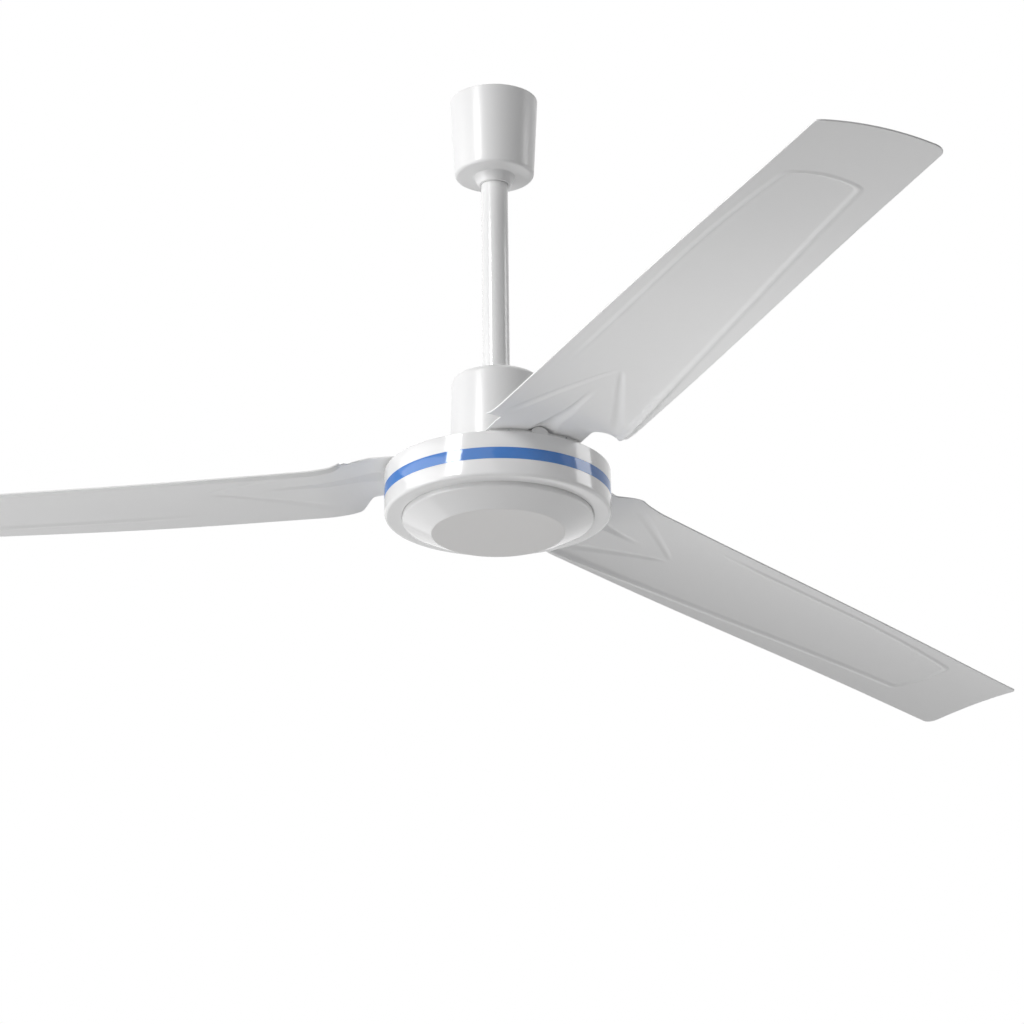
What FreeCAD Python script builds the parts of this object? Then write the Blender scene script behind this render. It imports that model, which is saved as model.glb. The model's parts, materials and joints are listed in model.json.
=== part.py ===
import FreeCAD, Part
import math
import os

# A three-blade ceiling fan, in millimetres. The ceiling is the plane z = 0 and everything hangs below it.

# Heights, from the ceiling down
CANOPY_GAP = 3.0            # ceiling to the rim of the upper canopy
CANOPY_HEIGHT = 68.0
ROD_SHOWING = 181.0         # rod between the two canopies
CUP_HEIGHT = 77.0
CUP_GAP = 4.0               # lower edge of the cup above the drum
DRUM_HEIGHT = 37.4
DISC_DROP = 14.4            # flat disc below the drum

# Ceiling bracket
BRACKET_LENGTH = 62.0
BRACKET_WIDTH = 22.0
BRACKET_SHEET = 3.0
BRACKET_CORNER = 6.0
FIXING_SPACING = 51.0
FIXING_HOLE = 6.6
CABLE_HOLE = 14.0
ROLLER_DROP = 24.0          # ceiling to the roller's axis
ROLLER_GROOVE_R = 11.0
ROLLER_FLANGE_R = 14.0
ROLLER_FLANGE = 4.7         # thickness of each roller flange

# Hanging rod
ROD_OD = 22.0
ROD_WALL = 2.2
SHACKLE_SHEET = 3.0
SHACKLE_WIDTH = 22.0
HANGER_BOLT_D = 8.0
ROD_BOLT_D = 6.0
HEAD_SHARE = 0.65           # bolt head's height, as a share of the bolt's diameter
NUT_SHARE = 0.75
FLATS_SHARE = 1.65
PIN_SHARE = 0.14            # split pin's radius
SCREW_HEAD_SHARE = 0.9      # radius of a screw's head, as a share of the screw's diameter
SCREW_HEAD_HEIGHT = 0.55
RECESS_SHARE = 0.1          # half width of the cross recess
WASHER_SHARE = 1.1          # washer's radius

# Canopies
CANOPY_RIM_R = 36.2
CANOPY_FOOT_R = 32.5
CANOPY_WALL = 2.0
CANOPY_ROUND = 3.0
COLLAR_BASE_R = 17.0
COLLAR_TIP_R = 13.2
COLLAR_HEIGHT = 7.5
CUP_TOP_R = 36.4
CUP_FOOT_R = 38.3
CUP_ROUND = 5.0
CUP_NECK_R = 15.0
CUP_NECK_HEIGHT = 7.0
GRUB_D = 3.0

# Motor drum
DRUM_R = 91.15
DRUM_WALL = 2.5
DRUM_FLOOR = 3.0
DRUM_FOOT_ROUND = 3.0
TOP_PLATE = 3.0
BAND_HEIGHT = 9.6
BAND_DEPTH = 1.2
RIM_ROUND = 0.8
COVER_R = 76.8
COVER_RIM = 4.5             # upright edge of the bottom cover below its seat
COVER_RECESS = 1.0          # depth of that seat in the drum floor
COVER_ROUND = 2.4
COVER_WALL = 2.0
DISC_R = 53.3

# Motor
SHAFT_D = 17.0
SHAFT_BORE = 10.0
BEARING_OD = 40.0
BEARING_WIDTH = 12.0
RACE_WALL = 2.9
BALL_D = 6.8
BALL_COUNT = 8
BEARING_BOSS_WALL = 4.0
BEARING_LIP = 2.0
BOSS_RISE = 0.5             # lower boss above the floor or the bearing inside it
CORE_HEIGHT = 18.0
CORE_HUB_R = 30.0
TOOTH_COUNT = 12
TOOTH_WIDTH = 8.0
TOOTH_SHOE = 4.2
SLOT_MOUTH = 3.0
AIR_GAP = 0.6
ROTOR_RING_WALL = 22.3
COIL_THICKNESS = 3.4
COIL_INNER_R = 32.0
COIL_OUTER_R = 58.0
COLLAR_STEP = 2.5           # shaft collar and spacer above the shaft's own radius
CIRCLIP_SHEET = 1.2
CIRCLIP_BITE = 0.6          # depth of a circlip's groove in the shaft
SHAFT_END = 0.6             # shaft below its lower circlip
PLATE_R = 31.0
PLATE_SHEET = 2.0
CAPACITOR_SIZE = (14.0, 30.0, 25.0)
CAPACITOR_ROUND = 2.0
TERMINAL_SIZE = (12.0, 24.0, 11.0)
TERMINAL_POLES = 3
TERMINAL_SCREW_D = 4.0
LEAD_D = 3.0

# Blades
BLADE_COUNT = 3
BLADE_FIRST_ANGLE = 60.0
BLADE_SHEET = 1.2
TIP_R = 702.0
TIP_LEAD_SETBACK = 6.0      # the leading tip corner lies this much further in than the tip's middle
TIP_TRAIL_SETBACK = 1.0
TIP_CROWN = 1.2             # the tip's edges would meet this much outside the tip circle
TIP_SWEEP = 250.0           # radius of the tip's edge
TIP_LEAD_ROUND = 5.0
TIP_TRAIL_ROUND = 9.0
EDGE_BOW = 1.2              # leading edge fuller than a straight taper
EDGE_SWEEP = 6000.0         # radius of the leading edge's bend
ROOT_R = 119.0
ROOT_HALF_CHORD = 58.0
TIP_HALF_CHORD = 48.5
TAB_INNER_R = 56.0
TAB_NECK_R = 104.0
TAB_HALF_WIDTH = 40.0
TAB_LIFT = 2.8              # tab above the drum's top
TAB_ROUND = 8.0
ROOT_ROUND = 5.0
NOTCH_DEPTH = 5.0           # notch beside the tab, measured in from the root edge
NOTCH_OPEN = 4.0            # how much wider than the tab the leading notch is at its inner corner
FLAT_END_R = 96.0           # the tab is flat up to here
SHAPED_R = 130.0            # and has the blade's full pitch and camber from here
GRID_STEP = 14.0            # spacing of the points that carry the blade's surface
GRID_COLUMNS = 8
BLADE_DROOP = 11.6          # fall of the centre line from the drum's edge to the tip
ROOT_SAG = 4.2              # and its further fall near the root
SAG_FULL_R = 150.0          # which is whole from here
SAG_FADE_R = 220.0          # to here
SAG_END_R = 600.0           # and has gone by here
ROOT_PITCH = 2.9
TIP_PITCH = 4.8
ROOT_CAMBER = 7.7
TIP_CAMBER = 3.4
PANEL_RISE = 0.8
PANEL_ROOT_R = 165.0
PANEL_TIP_R = 616.0
PANEL_ROOT_HALF = 46.0
PANEL_TIP_HALF = 28.5
PANEL_ROUND = 9.0
VEE_APEX_R = 243.0
VEE_FOOT_R = 130.0
VEE_SPREAD = 47.0
VEE_WIDTH = 9.0
VEE_RISE = 1.2
SPINE_TIP_R = 195.0
SPINE_HALF_WIDTH = 9.0
SPINE_RISE = 4.0
KEY_HALF_WIDTH = 7.0        # rib on the top plate that the hollow spine fits over
KEY_RISE = 3.0
RIB_BLUNT = 3.0             # a rib's tip is this many times narrower than its foot
RIB_TAPER = 4.0             # and its hollow ends this many sheet thicknesses before it
BLADE_SCREW_D = 5.0
BLADE_SCREW_RADII = (65.0, 82.0)
BLADE_SCREW_OFFSET = 24.0
WASHER_SHEET = 1.0
HOUSING_BOLT_D = 4.0
HOUSING_BOLT_R = 82.0
HOUSING_BOLT_SPREAD = 14.0  # degrees either side of the middle between two blades

# Clearances
RUNNING = 0.3               # between pieces that move past each other
HOLE_PLAY = 0.1             # on a radius, between a fastener and its hole
SEAT_PLAY = 0.1             # on a radius, between pieces that are fitted into each other
BALL_PLAY = 0.05
PAD_PLAY = 2.0              # between a bolted tab's edge and its pad's edge
INNER_GAP = 3.0             # between parts that turn and parts that stand still
SHACKLE_GAP = 5.0           # shackle's feet above the canopy's floor
BOSS_GAP = 1.4              # lower bearing boss above the bottom cover
LIP_REACH = 5.0             # how far a boss lip covers the face of its bearing
ROD_STANDOFF = 10.0         # rod's lower end above the wiring plate
COUPLING_INSET = 17.0       # coupling bolt above the rod's end, and below the shaft's
SIDE_GAP = 5.2              # from the rod's side to the capacitor and to the terminal block
THREAD_SKIN = 0.6           # floor left under a blind thread
SCREW_SHOW = 1.2            # a blade screw's end below the top plate

# Levels that follow
CANOPY_TOP = -CANOPY_GAP
CANOPY_FOOT = CANOPY_TOP - CANOPY_HEIGHT
CUP_TOP = CANOPY_FOOT - ROD_SHOWING
CUP_FOOT = CUP_TOP - CUP_HEIGHT
DRUM_TOP = CUP_FOOT - CUP_GAP
DRUM_FOOT = DRUM_TOP - DRUM_HEIGHT
DISC_Z = DRUM_FOOT - DISC_DROP
ROLLER_Z = -ROLLER_DROP
ROD_TOP = ROLLER_Z - ROLLER_FLANGE_R - INNER_GAP
SHACKLE_FOOT = CANOPY_FOOT + CANOPY_WALL + SHACKLE_GAP
SHACKLE_BOLT_Z = (ROD_TOP + SHACKLE_FOOT) / 2
CAVITY_TOP = DRUM_TOP - TOP_PLATE
CAVITY_FLOOR = DRUM_FOOT + DRUM_FLOOR
CORE_TOP = (CAVITY_TOP + CAVITY_FLOOR + CORE_HEIGHT) / 2
CORE_FOOT = CORE_TOP - CORE_HEIGHT
UPPER_RACE_FOOT = CAVITY_TOP + BEARING_LIP
UPPER_RACE_TOP = UPPER_RACE_FOOT + BEARING_WIDTH
UPPER_BOSS_TOP = UPPER_RACE_TOP + BEARING_LIP
LOWER_BOSS_FOOT = DISC_Z + COVER_WALL + BOSS_GAP
LOWER_RACE_FOOT = LOWER_BOSS_FOOT + BEARING_LIP
LOWER_RACE_TOP = LOWER_RACE_FOOT + BEARING_WIDTH
PLATE_FOOT = UPPER_BOSS_TOP + INNER_GAP
PLATE_TOP = PLATE_FOOT + PLATE_SHEET
ROD_FOOT = PLATE_TOP + ROD_STANDOFF
COUPLING_Z = ROD_FOOT + COUPLING_INSET
SHAFT_TOP = COUPLING_Z + COUPLING_INSET
TAB_UNDER = DRUM_TOP + TAB_LIFT
TAB_TOP = TAB_UNDER + BLADE_SHEET
LEAD_LOW = CORE_TOP + COIL_THICKNESS / 2
LEAD_HIGH = PLATE_TOP + ROD_STANDOFF / 2
HUB_FOOT = UPPER_RACE_TOP + CIRCLIP_SHEET
HOUSING_THREAD_FOOT = CAVITY_FLOOR - DRUM_FLOOR + THREAD_SKIN
BAND_TOP = DRUM_TOP - (DRUM_HEIGHT - BAND_HEIGHT) / 2
BAND_FOOT = BAND_TOP - BAND_HEIGHT
COVER_SEAT = DRUM_FOOT + COVER_RECESS
COLLAR_SCREW_Z = CANOPY_FOOT - COLLAR_HEIGHT / 2
NECK_SCREW_Z = CUP_TOP + CUP_NECK_HEIGHT / 2

# Radii that follow
SHAFT_R = SHAFT_D / 2
ROD_R = ROD_OD / 2
EAR_IN = SHACKLE_WIDTH / 2 + RUNNING + ROLLER_FLANGE + RUNNING
EAR_OUT = EAR_IN + BRACKET_SHEET
SHACKLE_IN = ROLLER_GROOVE_R + RUNNING
SHACKLE_OUT = SHACKLE_IN + SHACKLE_SHEET
BEARING_R = BEARING_OD / 2
BOSS_R = BEARING_R + BEARING_BOSS_WALL
BALL_CENTRE_R = (SHAFT_R + BEARING_R) / 2
LIP_BORE_R = BEARING_R - LIP_REACH
DRUM_BORE_R = DRUM_R - DRUM_WALL
RING_OUTER_R = DRUM_BORE_R - SEAT_PLAY
RING_INNER_R = RING_OUTER_R - ROTOR_RING_WALL
CORE_R = RING_INNER_R - AIR_GAP
LEDGE_R = DRUM_BORE_R - COVER_WALL
RIM_R = (DRUM_R + DRUM_BORE_R) / 2
TERMINAL_IN = ROD_R + SIDE_GAP
TERMINAL_SCREW_R = TERMINAL_SCREW_D / 2

Z_AXIS = FreeCAD.Vector(0, 0, 1)
ORIGIN = FreeCAD.Vector(0, 0, 0)


def point(x, y, z):
    return FreeCAD.Vector(x, y, z)


def in_section(a, b):
    """A point of a turned piece's half section: radius and height."""
    return FreeCAD.Vector(a, 0, b)


def in_plan(a, b):
    return FreeCAD.Vector(a, b, 0)


def in_elevation(a, b):
    return FreeCAD.Vector(0, a, b)


def rounded_wire(corners, to_space):
    """Closed wire through flat corners (a, b) or (a, b, radius), with an arc at each radius."""
    flat = [in_plan(corner[0], corner[1]) for corner in corners]
    radii = [corner[2] if len(corner) > 2 else 0 for corner in corners]
    spans = []
    for i, here in enumerate(flat):
        back = (flat[i - 1] - here).normalize()
        ahead = (flat[(i + 1) % len(flat)] - here).normalize()
        half = back.getAngle(ahead) / 2
        reach = radii[i] / math.tan(half)
        inward = (back + ahead).normalize() if radii[i] else back
        crown = here + inward * (radii[i] / math.sin(half) - radii[i])
        spans.append((here + back * reach, crown, here + ahead * reach))
    edges = []
    for i, (start, crown, end) in enumerate(spans):
        if radii[i]:
            ends = [to_space(p.x, p.y) for p in (start, crown, end)]
            edges.append(Part.Arc(*ends).toShape())
        follow = spans[(i + 1) % len(spans)][0]
        edges.append(Part.makeLine(to_space(end.x, end.y), to_space(follow.x, follow.y)))
    return Part.Wire(edges)


def turned(corners):
    """Solid of revolution about the fan's axis from a half section."""
    return Part.Face(rounded_wire(corners, in_section)).revolve(ORIGIN, Z_AXIS, 360)


def extruded(corners, to_space, direction):
    return Part.Face(rounded_wire(corners, to_space)).extrude(direction)


def disc(radius, low, high, x=0, y=0):
    return Part.makeCylinder(radius, high - low, point(x, y, low))


def ring(inner, outer, low, high):
    return disc(outer, low, high).cut(disc(inner, low, high))


def bar(radius, start, end):
    """Round bar between two points."""
    run = end - start
    return Part.makeCylinder(radius, run.Length, start, run)


def block(x_low, x_high, y_low, y_high, z_low, z_high):
    return Part.makeBox(x_high - x_low, y_high - y_low, z_high - z_low, point(x_low, y_low, z_low))


def spun(shape, degrees):
    copy = shape.copy()
    copy.rotate(ORIGIN, Z_AXIS, degrees)
    return copy


def around(shape, angles):
    return [spun(shape, angle) for angle in angles]


def union(shapes):
    return shapes[0].multiFuse(shapes[1:]).removeSplitter()


def group(shapes):
    return Part.makeCompound(shapes)


def save(name, shape):
    assert shape.isValid(), name
    shape.exportStep(os.path.join("parts", name + ".step"))


def hexagon(across_flats, low, high):
    """Hexagonal prism along X."""
    radius = across_flats / math.sqrt(3)
    corners = [(radius * math.cos(k * math.pi / 3), radius * math.sin(k * math.pi / 3)) for k in range(6)]
    prism = extruded(corners, in_elevation, point(high - low, 0, 0))
    prism.translate(point(low, 0, 0))
    return prism


def bolt_set(diameter, grip, quarter_turn, height):
    """Hexagon bolt across the fan's axis, with its nut and split pin: along X, or along Y if turned."""
    radius = diameter / 2
    head = HEAD_SHARE * diameter
    nut = NUT_SHARE * diameter
    flats = FLATS_SHARE * diameter
    pin = PIN_SHARE * diameter
    near = -grip / 2
    far = grip / 2
    pin_x = far + nut + HOLE_PLAY + 1.5 * pin
    end = pin_x + 2.5 * pin
    shank = bar(radius, point(near, 0, 0), point(end, 0, 0))
    pin_hole = bar(pin + HOLE_PLAY, point(pin_x, 0, -radius), point(pin_x, 0, radius))
    bolt = union([hexagon(flats, near - head, near), shank]).cut(pin_hole)
    nut_bore = bar(radius, point(far, 0, 0), point(far + nut, 0, 0))
    nut_piece = hexagon(flats, far, far + nut).cut(nut_bore)
    eye_r = 2 * pin
    eye = Part.makeTorus(eye_r, pin / 2, point(pin_x, 0, radius + pin + eye_r), point(1, 0, 0))
    leg = bar(pin, point(pin_x, 0, -radius - eye_r), point(pin_x, 0, radius + pin))
    cotter = union([leg, eye])
    pieces = [bolt, nut_piece, cotter]
    for piece in pieces:
        piece.rotate(ORIGIN, Z_AXIS, 90 if quarter_turn else 0)
        piece.translate(point(0, 0, height))
    return pieces


# Pieces fixed to the ceiling

def ceiling_bracket():
    half_length = BRACKET_LENGTH / 2
    half_width = BRACKET_WIDTH / 2
    signs = ((-1, -1), (1, -1), (1, 1), (-1, 1))
    corners = [(sx * half_length, sy * half_width, BRACKET_CORNER) for sx, sy in signs]
    plate = extruded(corners, in_plan, point(0, 0, -BRACKET_SHEET))
    ear = block(EAR_IN, EAR_OUT, -half_width, half_width, ROLLER_Z, -BRACKET_SHEET / 2)
    ear = ear.fuse(bar(half_width, point(EAR_IN, 0, ROLLER_Z), point(EAR_OUT, 0, ROLLER_Z)))
    body = union([plate, ear, spun(ear, 180)])
    hole = disc(FIXING_HOLE / 2, -BRACKET_SHEET, 0, FIXING_SPACING / 2)
    cable_hole = disc(CABLE_HOLE / 2, -BRACKET_SHEET, 0)
    bolt_hole_r = HANGER_BOLT_D / 2 + HOLE_PLAY
    bolt_hole = bar(bolt_hole_r, point(-EAR_OUT, 0, ROLLER_Z), point(EAR_OUT, 0, ROLLER_Z))
    return body.cut(group([hole, spun(hole, 180), cable_hole, bolt_hole]))


def hanger_roller():
    half = SHACKLE_WIDTH / 2 + RUNNING
    end = half + ROLLER_FLANGE
    groove = bar(ROLLER_GROOVE_R, point(-half, 0, ROLLER_Z), point(half, 0, ROLLER_Z))
    flange = bar(ROLLER_FLANGE_R, point(half, 0, ROLLER_Z), point(end, 0, ROLLER_Z))
    bore = bar(HANGER_BOLT_D / 2 + HOLE_PLAY, point(-end, 0, ROLLER_Z), point(end, 0, ROLLER_Z))
    return union([groove, flange, spun(flange, 180)]).cut(bore)


# Hanging rod and what is bolted to it

def cross_hole(height):
    radius = ROD_BOLT_D / 2 + HOLE_PLAY
    return bar(radius, point(0, -SHACKLE_OUT, height), point(0, SHACKLE_OUT, height))


def arch(radius, low):
    """Strap-wide solid with a round top about the roller's axis."""
    half = SHACKLE_WIDTH / 2
    top = bar(radius, point(-half, 0, ROLLER_Z), point(half, 0, ROLLER_Z))
    return top.fuse(block(-half, half, -radius, radius, low, ROLLER_Z))


def hanger_shackle():
    strap = arch(SHACKLE_OUT, SHACKLE_FOOT).cut(arch(SHACKLE_IN, SHACKLE_FOOT)).removeSplitter()
    return strap.cut(cross_hole(SHACKLE_BOLT_Z))


def downrod():
    tube = ring(ROD_R - ROD_WALL, ROD_R, ROD_FOOT, ROD_TOP)
    return tube.cut(group([cross_hole(SHACKLE_BOLT_Z), cross_hole(COUPLING_Z)]))


def lead_hole(height, reach):
    """Way for the motor lead through one side of the shaft."""
    return bar(LEAD_D / 2 + RUNNING, point(0, 0, height), point(reach, 0, height))


def motor_shaft():
    bore_r = SHAFT_BORE / 2
    foot = LOWER_RACE_FOOT - CIRCLIP_SHEET - SHAFT_END
    collar = disc(SHAFT_R + COLLAR_STEP, LOWER_RACE_TOP, CORE_FOOT)
    body = union([disc(SHAFT_R, foot, SHAFT_TOP), collar])
    grooves = [circlip_groove(low) for low in circlip_levels()]
    ways = [lead_hole(LEAD_LOW, SHAFT_D), lead_hole(LEAD_HIGH, -SHAFT_D)]
    bore = disc(bore_r, LEAD_LOW - bore_r, SHAFT_TOP)
    return body.cut(group(grooves)).cut(bore).cut(group(ways)).cut(cross_hole(COUPLING_Z))


def circlip_levels():
    return (LOWER_RACE_FOOT - CIRCLIP_SHEET, UPPER_RACE_TOP)


def circlip_groove(low):
    return ring(SHAFT_R - CIRCLIP_BITE, SHAFT_R + COLLAR_STEP, low, low + CIRCLIP_SHEET)


def shaft_circlips():
    clips = []
    for low in circlip_levels():
        mouth = block(0, SHAFT_D, -COLLAR_STEP, COLLAR_STEP, low, low + CIRCLIP_SHEET)
        clips.append(circlip_groove(low).cut(mouth))
    return group(clips)


def shaft_spacer():
    sleeve = ring(SHAFT_R, SHAFT_R + COLLAR_STEP, CORE_TOP, UPPER_RACE_FOOT)
    return sleeve.cut(lead_hole(LEAD_LOW, SHAFT_D))


def tooth_angles():
    return [k * 360 / TOOTH_COUNT for k in range(TOOTH_COUNT)]


def stator_core():
    hub = ring(SHAFT_R, CORE_HUB_R, CORE_FOOT, CORE_TOP)
    half = TOOTH_WIDTH / 2
    shoe_r = CORE_R - TOOTH_SHOE
    tooth = block(CORE_HUB_R - half, shoe_r + half, -half, half, CORE_FOOT, CORE_TOP)
    mouth = block(shoe_r - half, CORE_R + half, -SLOT_MOUTH / 2, SLOT_MOUTH / 2, CORE_FOOT, CORE_TOP)
    mouths = around(mouth, [angle + 180 / TOOTH_COUNT for angle in tooth_angles()])
    shoes = ring(shoe_r, CORE_R, CORE_FOOT, CORE_TOP).cut(group(mouths))
    inside = disc(CORE_R - TOOTH_SHOE / 2, CORE_FOOT, CORE_TOP)
    teeth = [piece.common(inside) for piece in around(tooth, tooth_angles())]
    return union([hub] + teeth + [shoes])


def stator_windings():
    half = TOOTH_WIDTH / 2 + RUNNING
    low = CORE_FOOT - RUNNING
    high = CORE_TOP + RUNNING
    wide = half + COIL_THICKNESS
    length = point(COIL_OUTER_R - COIL_INNER_R, 0, 0)

    def outline(side, extra, radius):
        return [(-side, low - extra, radius), (side, low - extra, radius),
                (side, high + extra, radius), (-side, high + extra, radius)]

    coil = extruded(outline(wide, COIL_THICKNESS, COIL_THICKNESS / 2), in_elevation, length)
    coil = coil.cut(extruded(outline(half, 0, 0), in_elevation, length))
    coil.translate(point(COIL_INNER_R, 0, 0))
    return group(around(coil, tooth_angles()))


def motor_lead():
    """Lead from a coil through the shaft's bore to the terminal block, with a bend at each way."""
    bend = SHAFT_BORE / 2
    coil_end = point(COIL_INNER_R, 0, LEAD_LOW)
    terminal_end = point(-TERMINAL_IN, 0, LEAD_HIGH)
    inner = bend * (1 - math.sqrt(0.5))
    low_turn = [point(bend, 0, LEAD_LOW), point(inner, 0, LEAD_LOW + inner), point(0, 0, LEAD_LOW + bend)]
    high_turn = [point(0, 0, LEAD_HIGH - bend), point(-inner, 0, LEAD_HIGH - inner),
                 point(-bend, 0, LEAD_HIGH)]
    edges = [Part.makeLine(coil_end, low_turn[0]), Part.Arc(*low_turn).toShape(),
             Part.makeLine(low_turn[2], high_turn[0]), Part.Arc(*high_turn).toShape(),
             Part.makeLine(high_turn[2], terminal_end)]
    path = Part.Wire(edges)
    section = Part.Wire([Part.makeCircle(LEAD_D / 2, coil_end, point(-1, 0, 0))])
    lead = path.makePipeShell([section], True, False)
    return lead


def race_groove(foot):
    centre = point(0, 0, foot + BEARING_WIDTH / 2)
    return Part.makeTorus(BALL_CENTRE_R, BALL_D / 2 + BALL_PLAY, centre, Z_AXIS)


def inner_race(foot):
    return ring(SHAFT_R, SHAFT_R + RACE_WALL, foot, foot + BEARING_WIDTH).cut(race_groove(foot))


def outer_race(foot):
    return ring(BEARING_R - RACE_WALL, BEARING_R, foot, foot + BEARING_WIDTH).cut(race_groove(foot))


def bearing_balls(foot):
    ball = Part.makeSphere(BALL_D / 2, point(BALL_CENTRE_R, 0, foot + BEARING_WIDTH / 2))
    return group(around(ball, [k * 360 / BALL_COUNT for k in range(BALL_COUNT)]))


def wiring_plate():
    hub_r = LIP_BORE_R - INNER_GAP
    half = CAPACITOR_SIZE[1] / 2
    strip = disc(PLATE_R, PLATE_FOOT, PLATE_TOP).common(
        block(-PLATE_R, PLATE_R, -half, half, PLATE_FOOT, PLATE_TOP))
    plate = union([strip, disc(hub_r, HUB_FOOT, PLATE_TOP)])
    return plate.cut(disc(SHAFT_R, HUB_FOOT, PLATE_TOP))


def capacitor():
    depth, width, height = CAPACITOR_SIZE
    near = TERMINAL_IN
    corners = [(near, -width / 2, CAPACITOR_ROUND), (near + depth, -width / 2, CAPACITOR_ROUND),
               (near + depth, width / 2, CAPACITOR_ROUND), (near, width / 2, CAPACITOR_ROUND)]
    can = extruded(corners, in_plan, point(0, 0, height))
    can.translate(point(0, 0, PLATE_TOP))
    return can


def terminal_places():
    depth, width, height = TERMINAL_SIZE
    pitch = width / TERMINAL_POLES
    middle = (TERMINAL_POLES - 1) / 2
    return [(-TERMINAL_IN - depth / 2, (k - middle) * pitch) for k in range(TERMINAL_POLES)]


def terminal_block():
    depth, width, height = TERMINAL_SIZE
    body = block(-TERMINAL_IN - depth, -TERMINAL_IN, -width / 2, width / 2, PLATE_TOP, PLATE_TOP + height)
    wells = [disc(TERMINAL_SCREW_R + HOLE_PLAY, PLATE_TOP + height / 2, PLATE_TOP + height, x, y)
             for x, y in terminal_places()]
    return body.cut(group(wells))


def terminal_screws():
    depth, width, height = TERMINAL_SIZE
    top = PLATE_TOP + height - TERMINAL_SCREW_R / 2
    slot_half = TERMINAL_SCREW_R / 5
    screws = []
    for x, y in terminal_places():
        slot = block(x - TERMINAL_SCREW_R, x + TERMINAL_SCREW_R, y - slot_half, y + slot_half,
                     top - slot_half * 2, top)
        screws.append(disc(TERMINAL_SCREW_R, PLATE_TOP + height / 2, top, x, y).cut(slot))
    return group(screws)


# Turning drum

def housing_bolt_places():
    angles = []
    for k in range(BLADE_COUNT):
        middle = BLADE_FIRST_ANGLE + (k + 0.5) * 360 / BLADE_COUNT
        angles += [middle - HOUSING_BOLT_SPREAD, middle + HOUSING_BOLT_SPREAD]
    return angles


def housing_bolt_hole(radius, low, high):
    hole = disc(radius, low, high, HOUSING_BOLT_R)
    return group(around(hole, housing_bolt_places()))


def drum_pan():
    groove_r = DRUM_R - BAND_DEPTH
    boss_top = max(CAVITY_FLOOR, LOWER_RACE_TOP) + BOSS_RISE
    shell = turned([
        (LIP_BORE_R, LOWER_BOSS_FOOT), (BOSS_R, LOWER_BOSS_FOOT), (BOSS_R, COVER_SEAT),
        (COVER_R + RUNNING, COVER_SEAT), (COVER_R + RUNNING, DRUM_FOOT),
        (DRUM_R, DRUM_FOOT, DRUM_FOOT_ROUND), (DRUM_R, BAND_FOOT), (groove_r, BAND_FOOT),
        (groove_r, BAND_TOP), (DRUM_R, BAND_TOP), (DRUM_R, DRUM_TOP, RIM_ROUND), (RIM_R, DRUM_TOP),
        (RIM_R, CAVITY_TOP), (DRUM_BORE_R, CAVITY_TOP), (DRUM_BORE_R, CORE_FOOT), (LEDGE_R, CORE_FOOT),
        (LEDGE_R, CAVITY_FLOOR), (BOSS_R, CAVITY_FLOOR), (BOSS_R, boss_top), (BEARING_R, boss_top),
        (BEARING_R, LOWER_RACE_FOOT), (LIP_BORE_R, LOWER_RACE_FOOT)])
    return shell.cut(housing_bolt_hole(HOUSING_BOLT_D / 2, HOUSING_THREAD_FOOT, CAVITY_FLOOR))


def blue_band():
    return ring(DRUM_R - BAND_DEPTH, DRUM_R, BAND_FOOT, BAND_TOP)


def blade_key(edge):
    """Round-backed rib on a blade's pad, out to the plate's edge."""
    radius = (KEY_HALF_WIDTH ** 2 + KEY_RISE ** 2) / (2 * KEY_RISE)
    top = TAB_UNDER + KEY_RISE
    key = bar(radius, point(TAB_INNER_R + PAD_PLAY, 0, top - radius), point(DRUM_R, 0, top - radius))
    key = key.common(block(0, DRUM_R, -KEY_HALF_WIDTH, KEY_HALF_WIDTH, CAVITY_TOP, top))
    return key.common(disc(edge, CAVITY_TOP, top))


def top_cover():
    edge = RIM_R - SEAT_PLAY
    plate = turned([
        (LIP_BORE_R, UPPER_BOSS_TOP), (LIP_BORE_R, UPPER_RACE_TOP), (BEARING_R, UPPER_RACE_TOP),
        (BEARING_R, CAVITY_TOP), (edge, CAVITY_TOP), (edge, DRUM_TOP), (BOSS_R, DRUM_TOP, BEARING_LIP),
        (BOSS_R, UPPER_BOSS_TOP, BEARING_LIP / 2)])
    pad_half = TAB_HALF_WIDTH - PAD_PLAY
    pad = block(TAB_INNER_R + PAD_PLAY, RIM_R - PAD_PLAY, -pad_half, pad_half, CAVITY_TOP, TAB_UNDER)
    pad = pad.common(disc(RIM_R - PAD_PLAY, CAVITY_TOP, TAB_UNDER))
    plate = union([plate] + around(pad, blade_angles()) + around(blade_key(edge), blade_angles()))
    bolt_r = HOUSING_BOLT_D / 2 + HOLE_PLAY
    holes = [housing_bolt_hole(bolt_r, CAVITY_TOP, DRUM_TOP)]
    holes += [disc(BLADE_SCREW_D / 2 + HOLE_PLAY, CAVITY_TOP, TAB_UNDER, x, y) for x, y in screw_places()]
    return plate.cut(group(holes))


def rotor_ring():
    body = ring(RING_INNER_R, RING_OUTER_R, CORE_FOOT, CORE_TOP)
    return body.cut(housing_bolt_hole(HOUSING_BOLT_D / 2 + HOLE_PLAY, CORE_FOOT, CORE_TOP))


def housing_bolts():
    shank = disc(HOUSING_BOLT_D / 2, HOUSING_THREAD_FOOT, DRUM_TOP, HOUSING_BOLT_R)
    bolt = pan_head(HOUSING_BOLT_D, DRUM_TOP, HOUSING_BOLT_R, 0, shank)
    return group(around(bolt, housing_bolt_places()))


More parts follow.
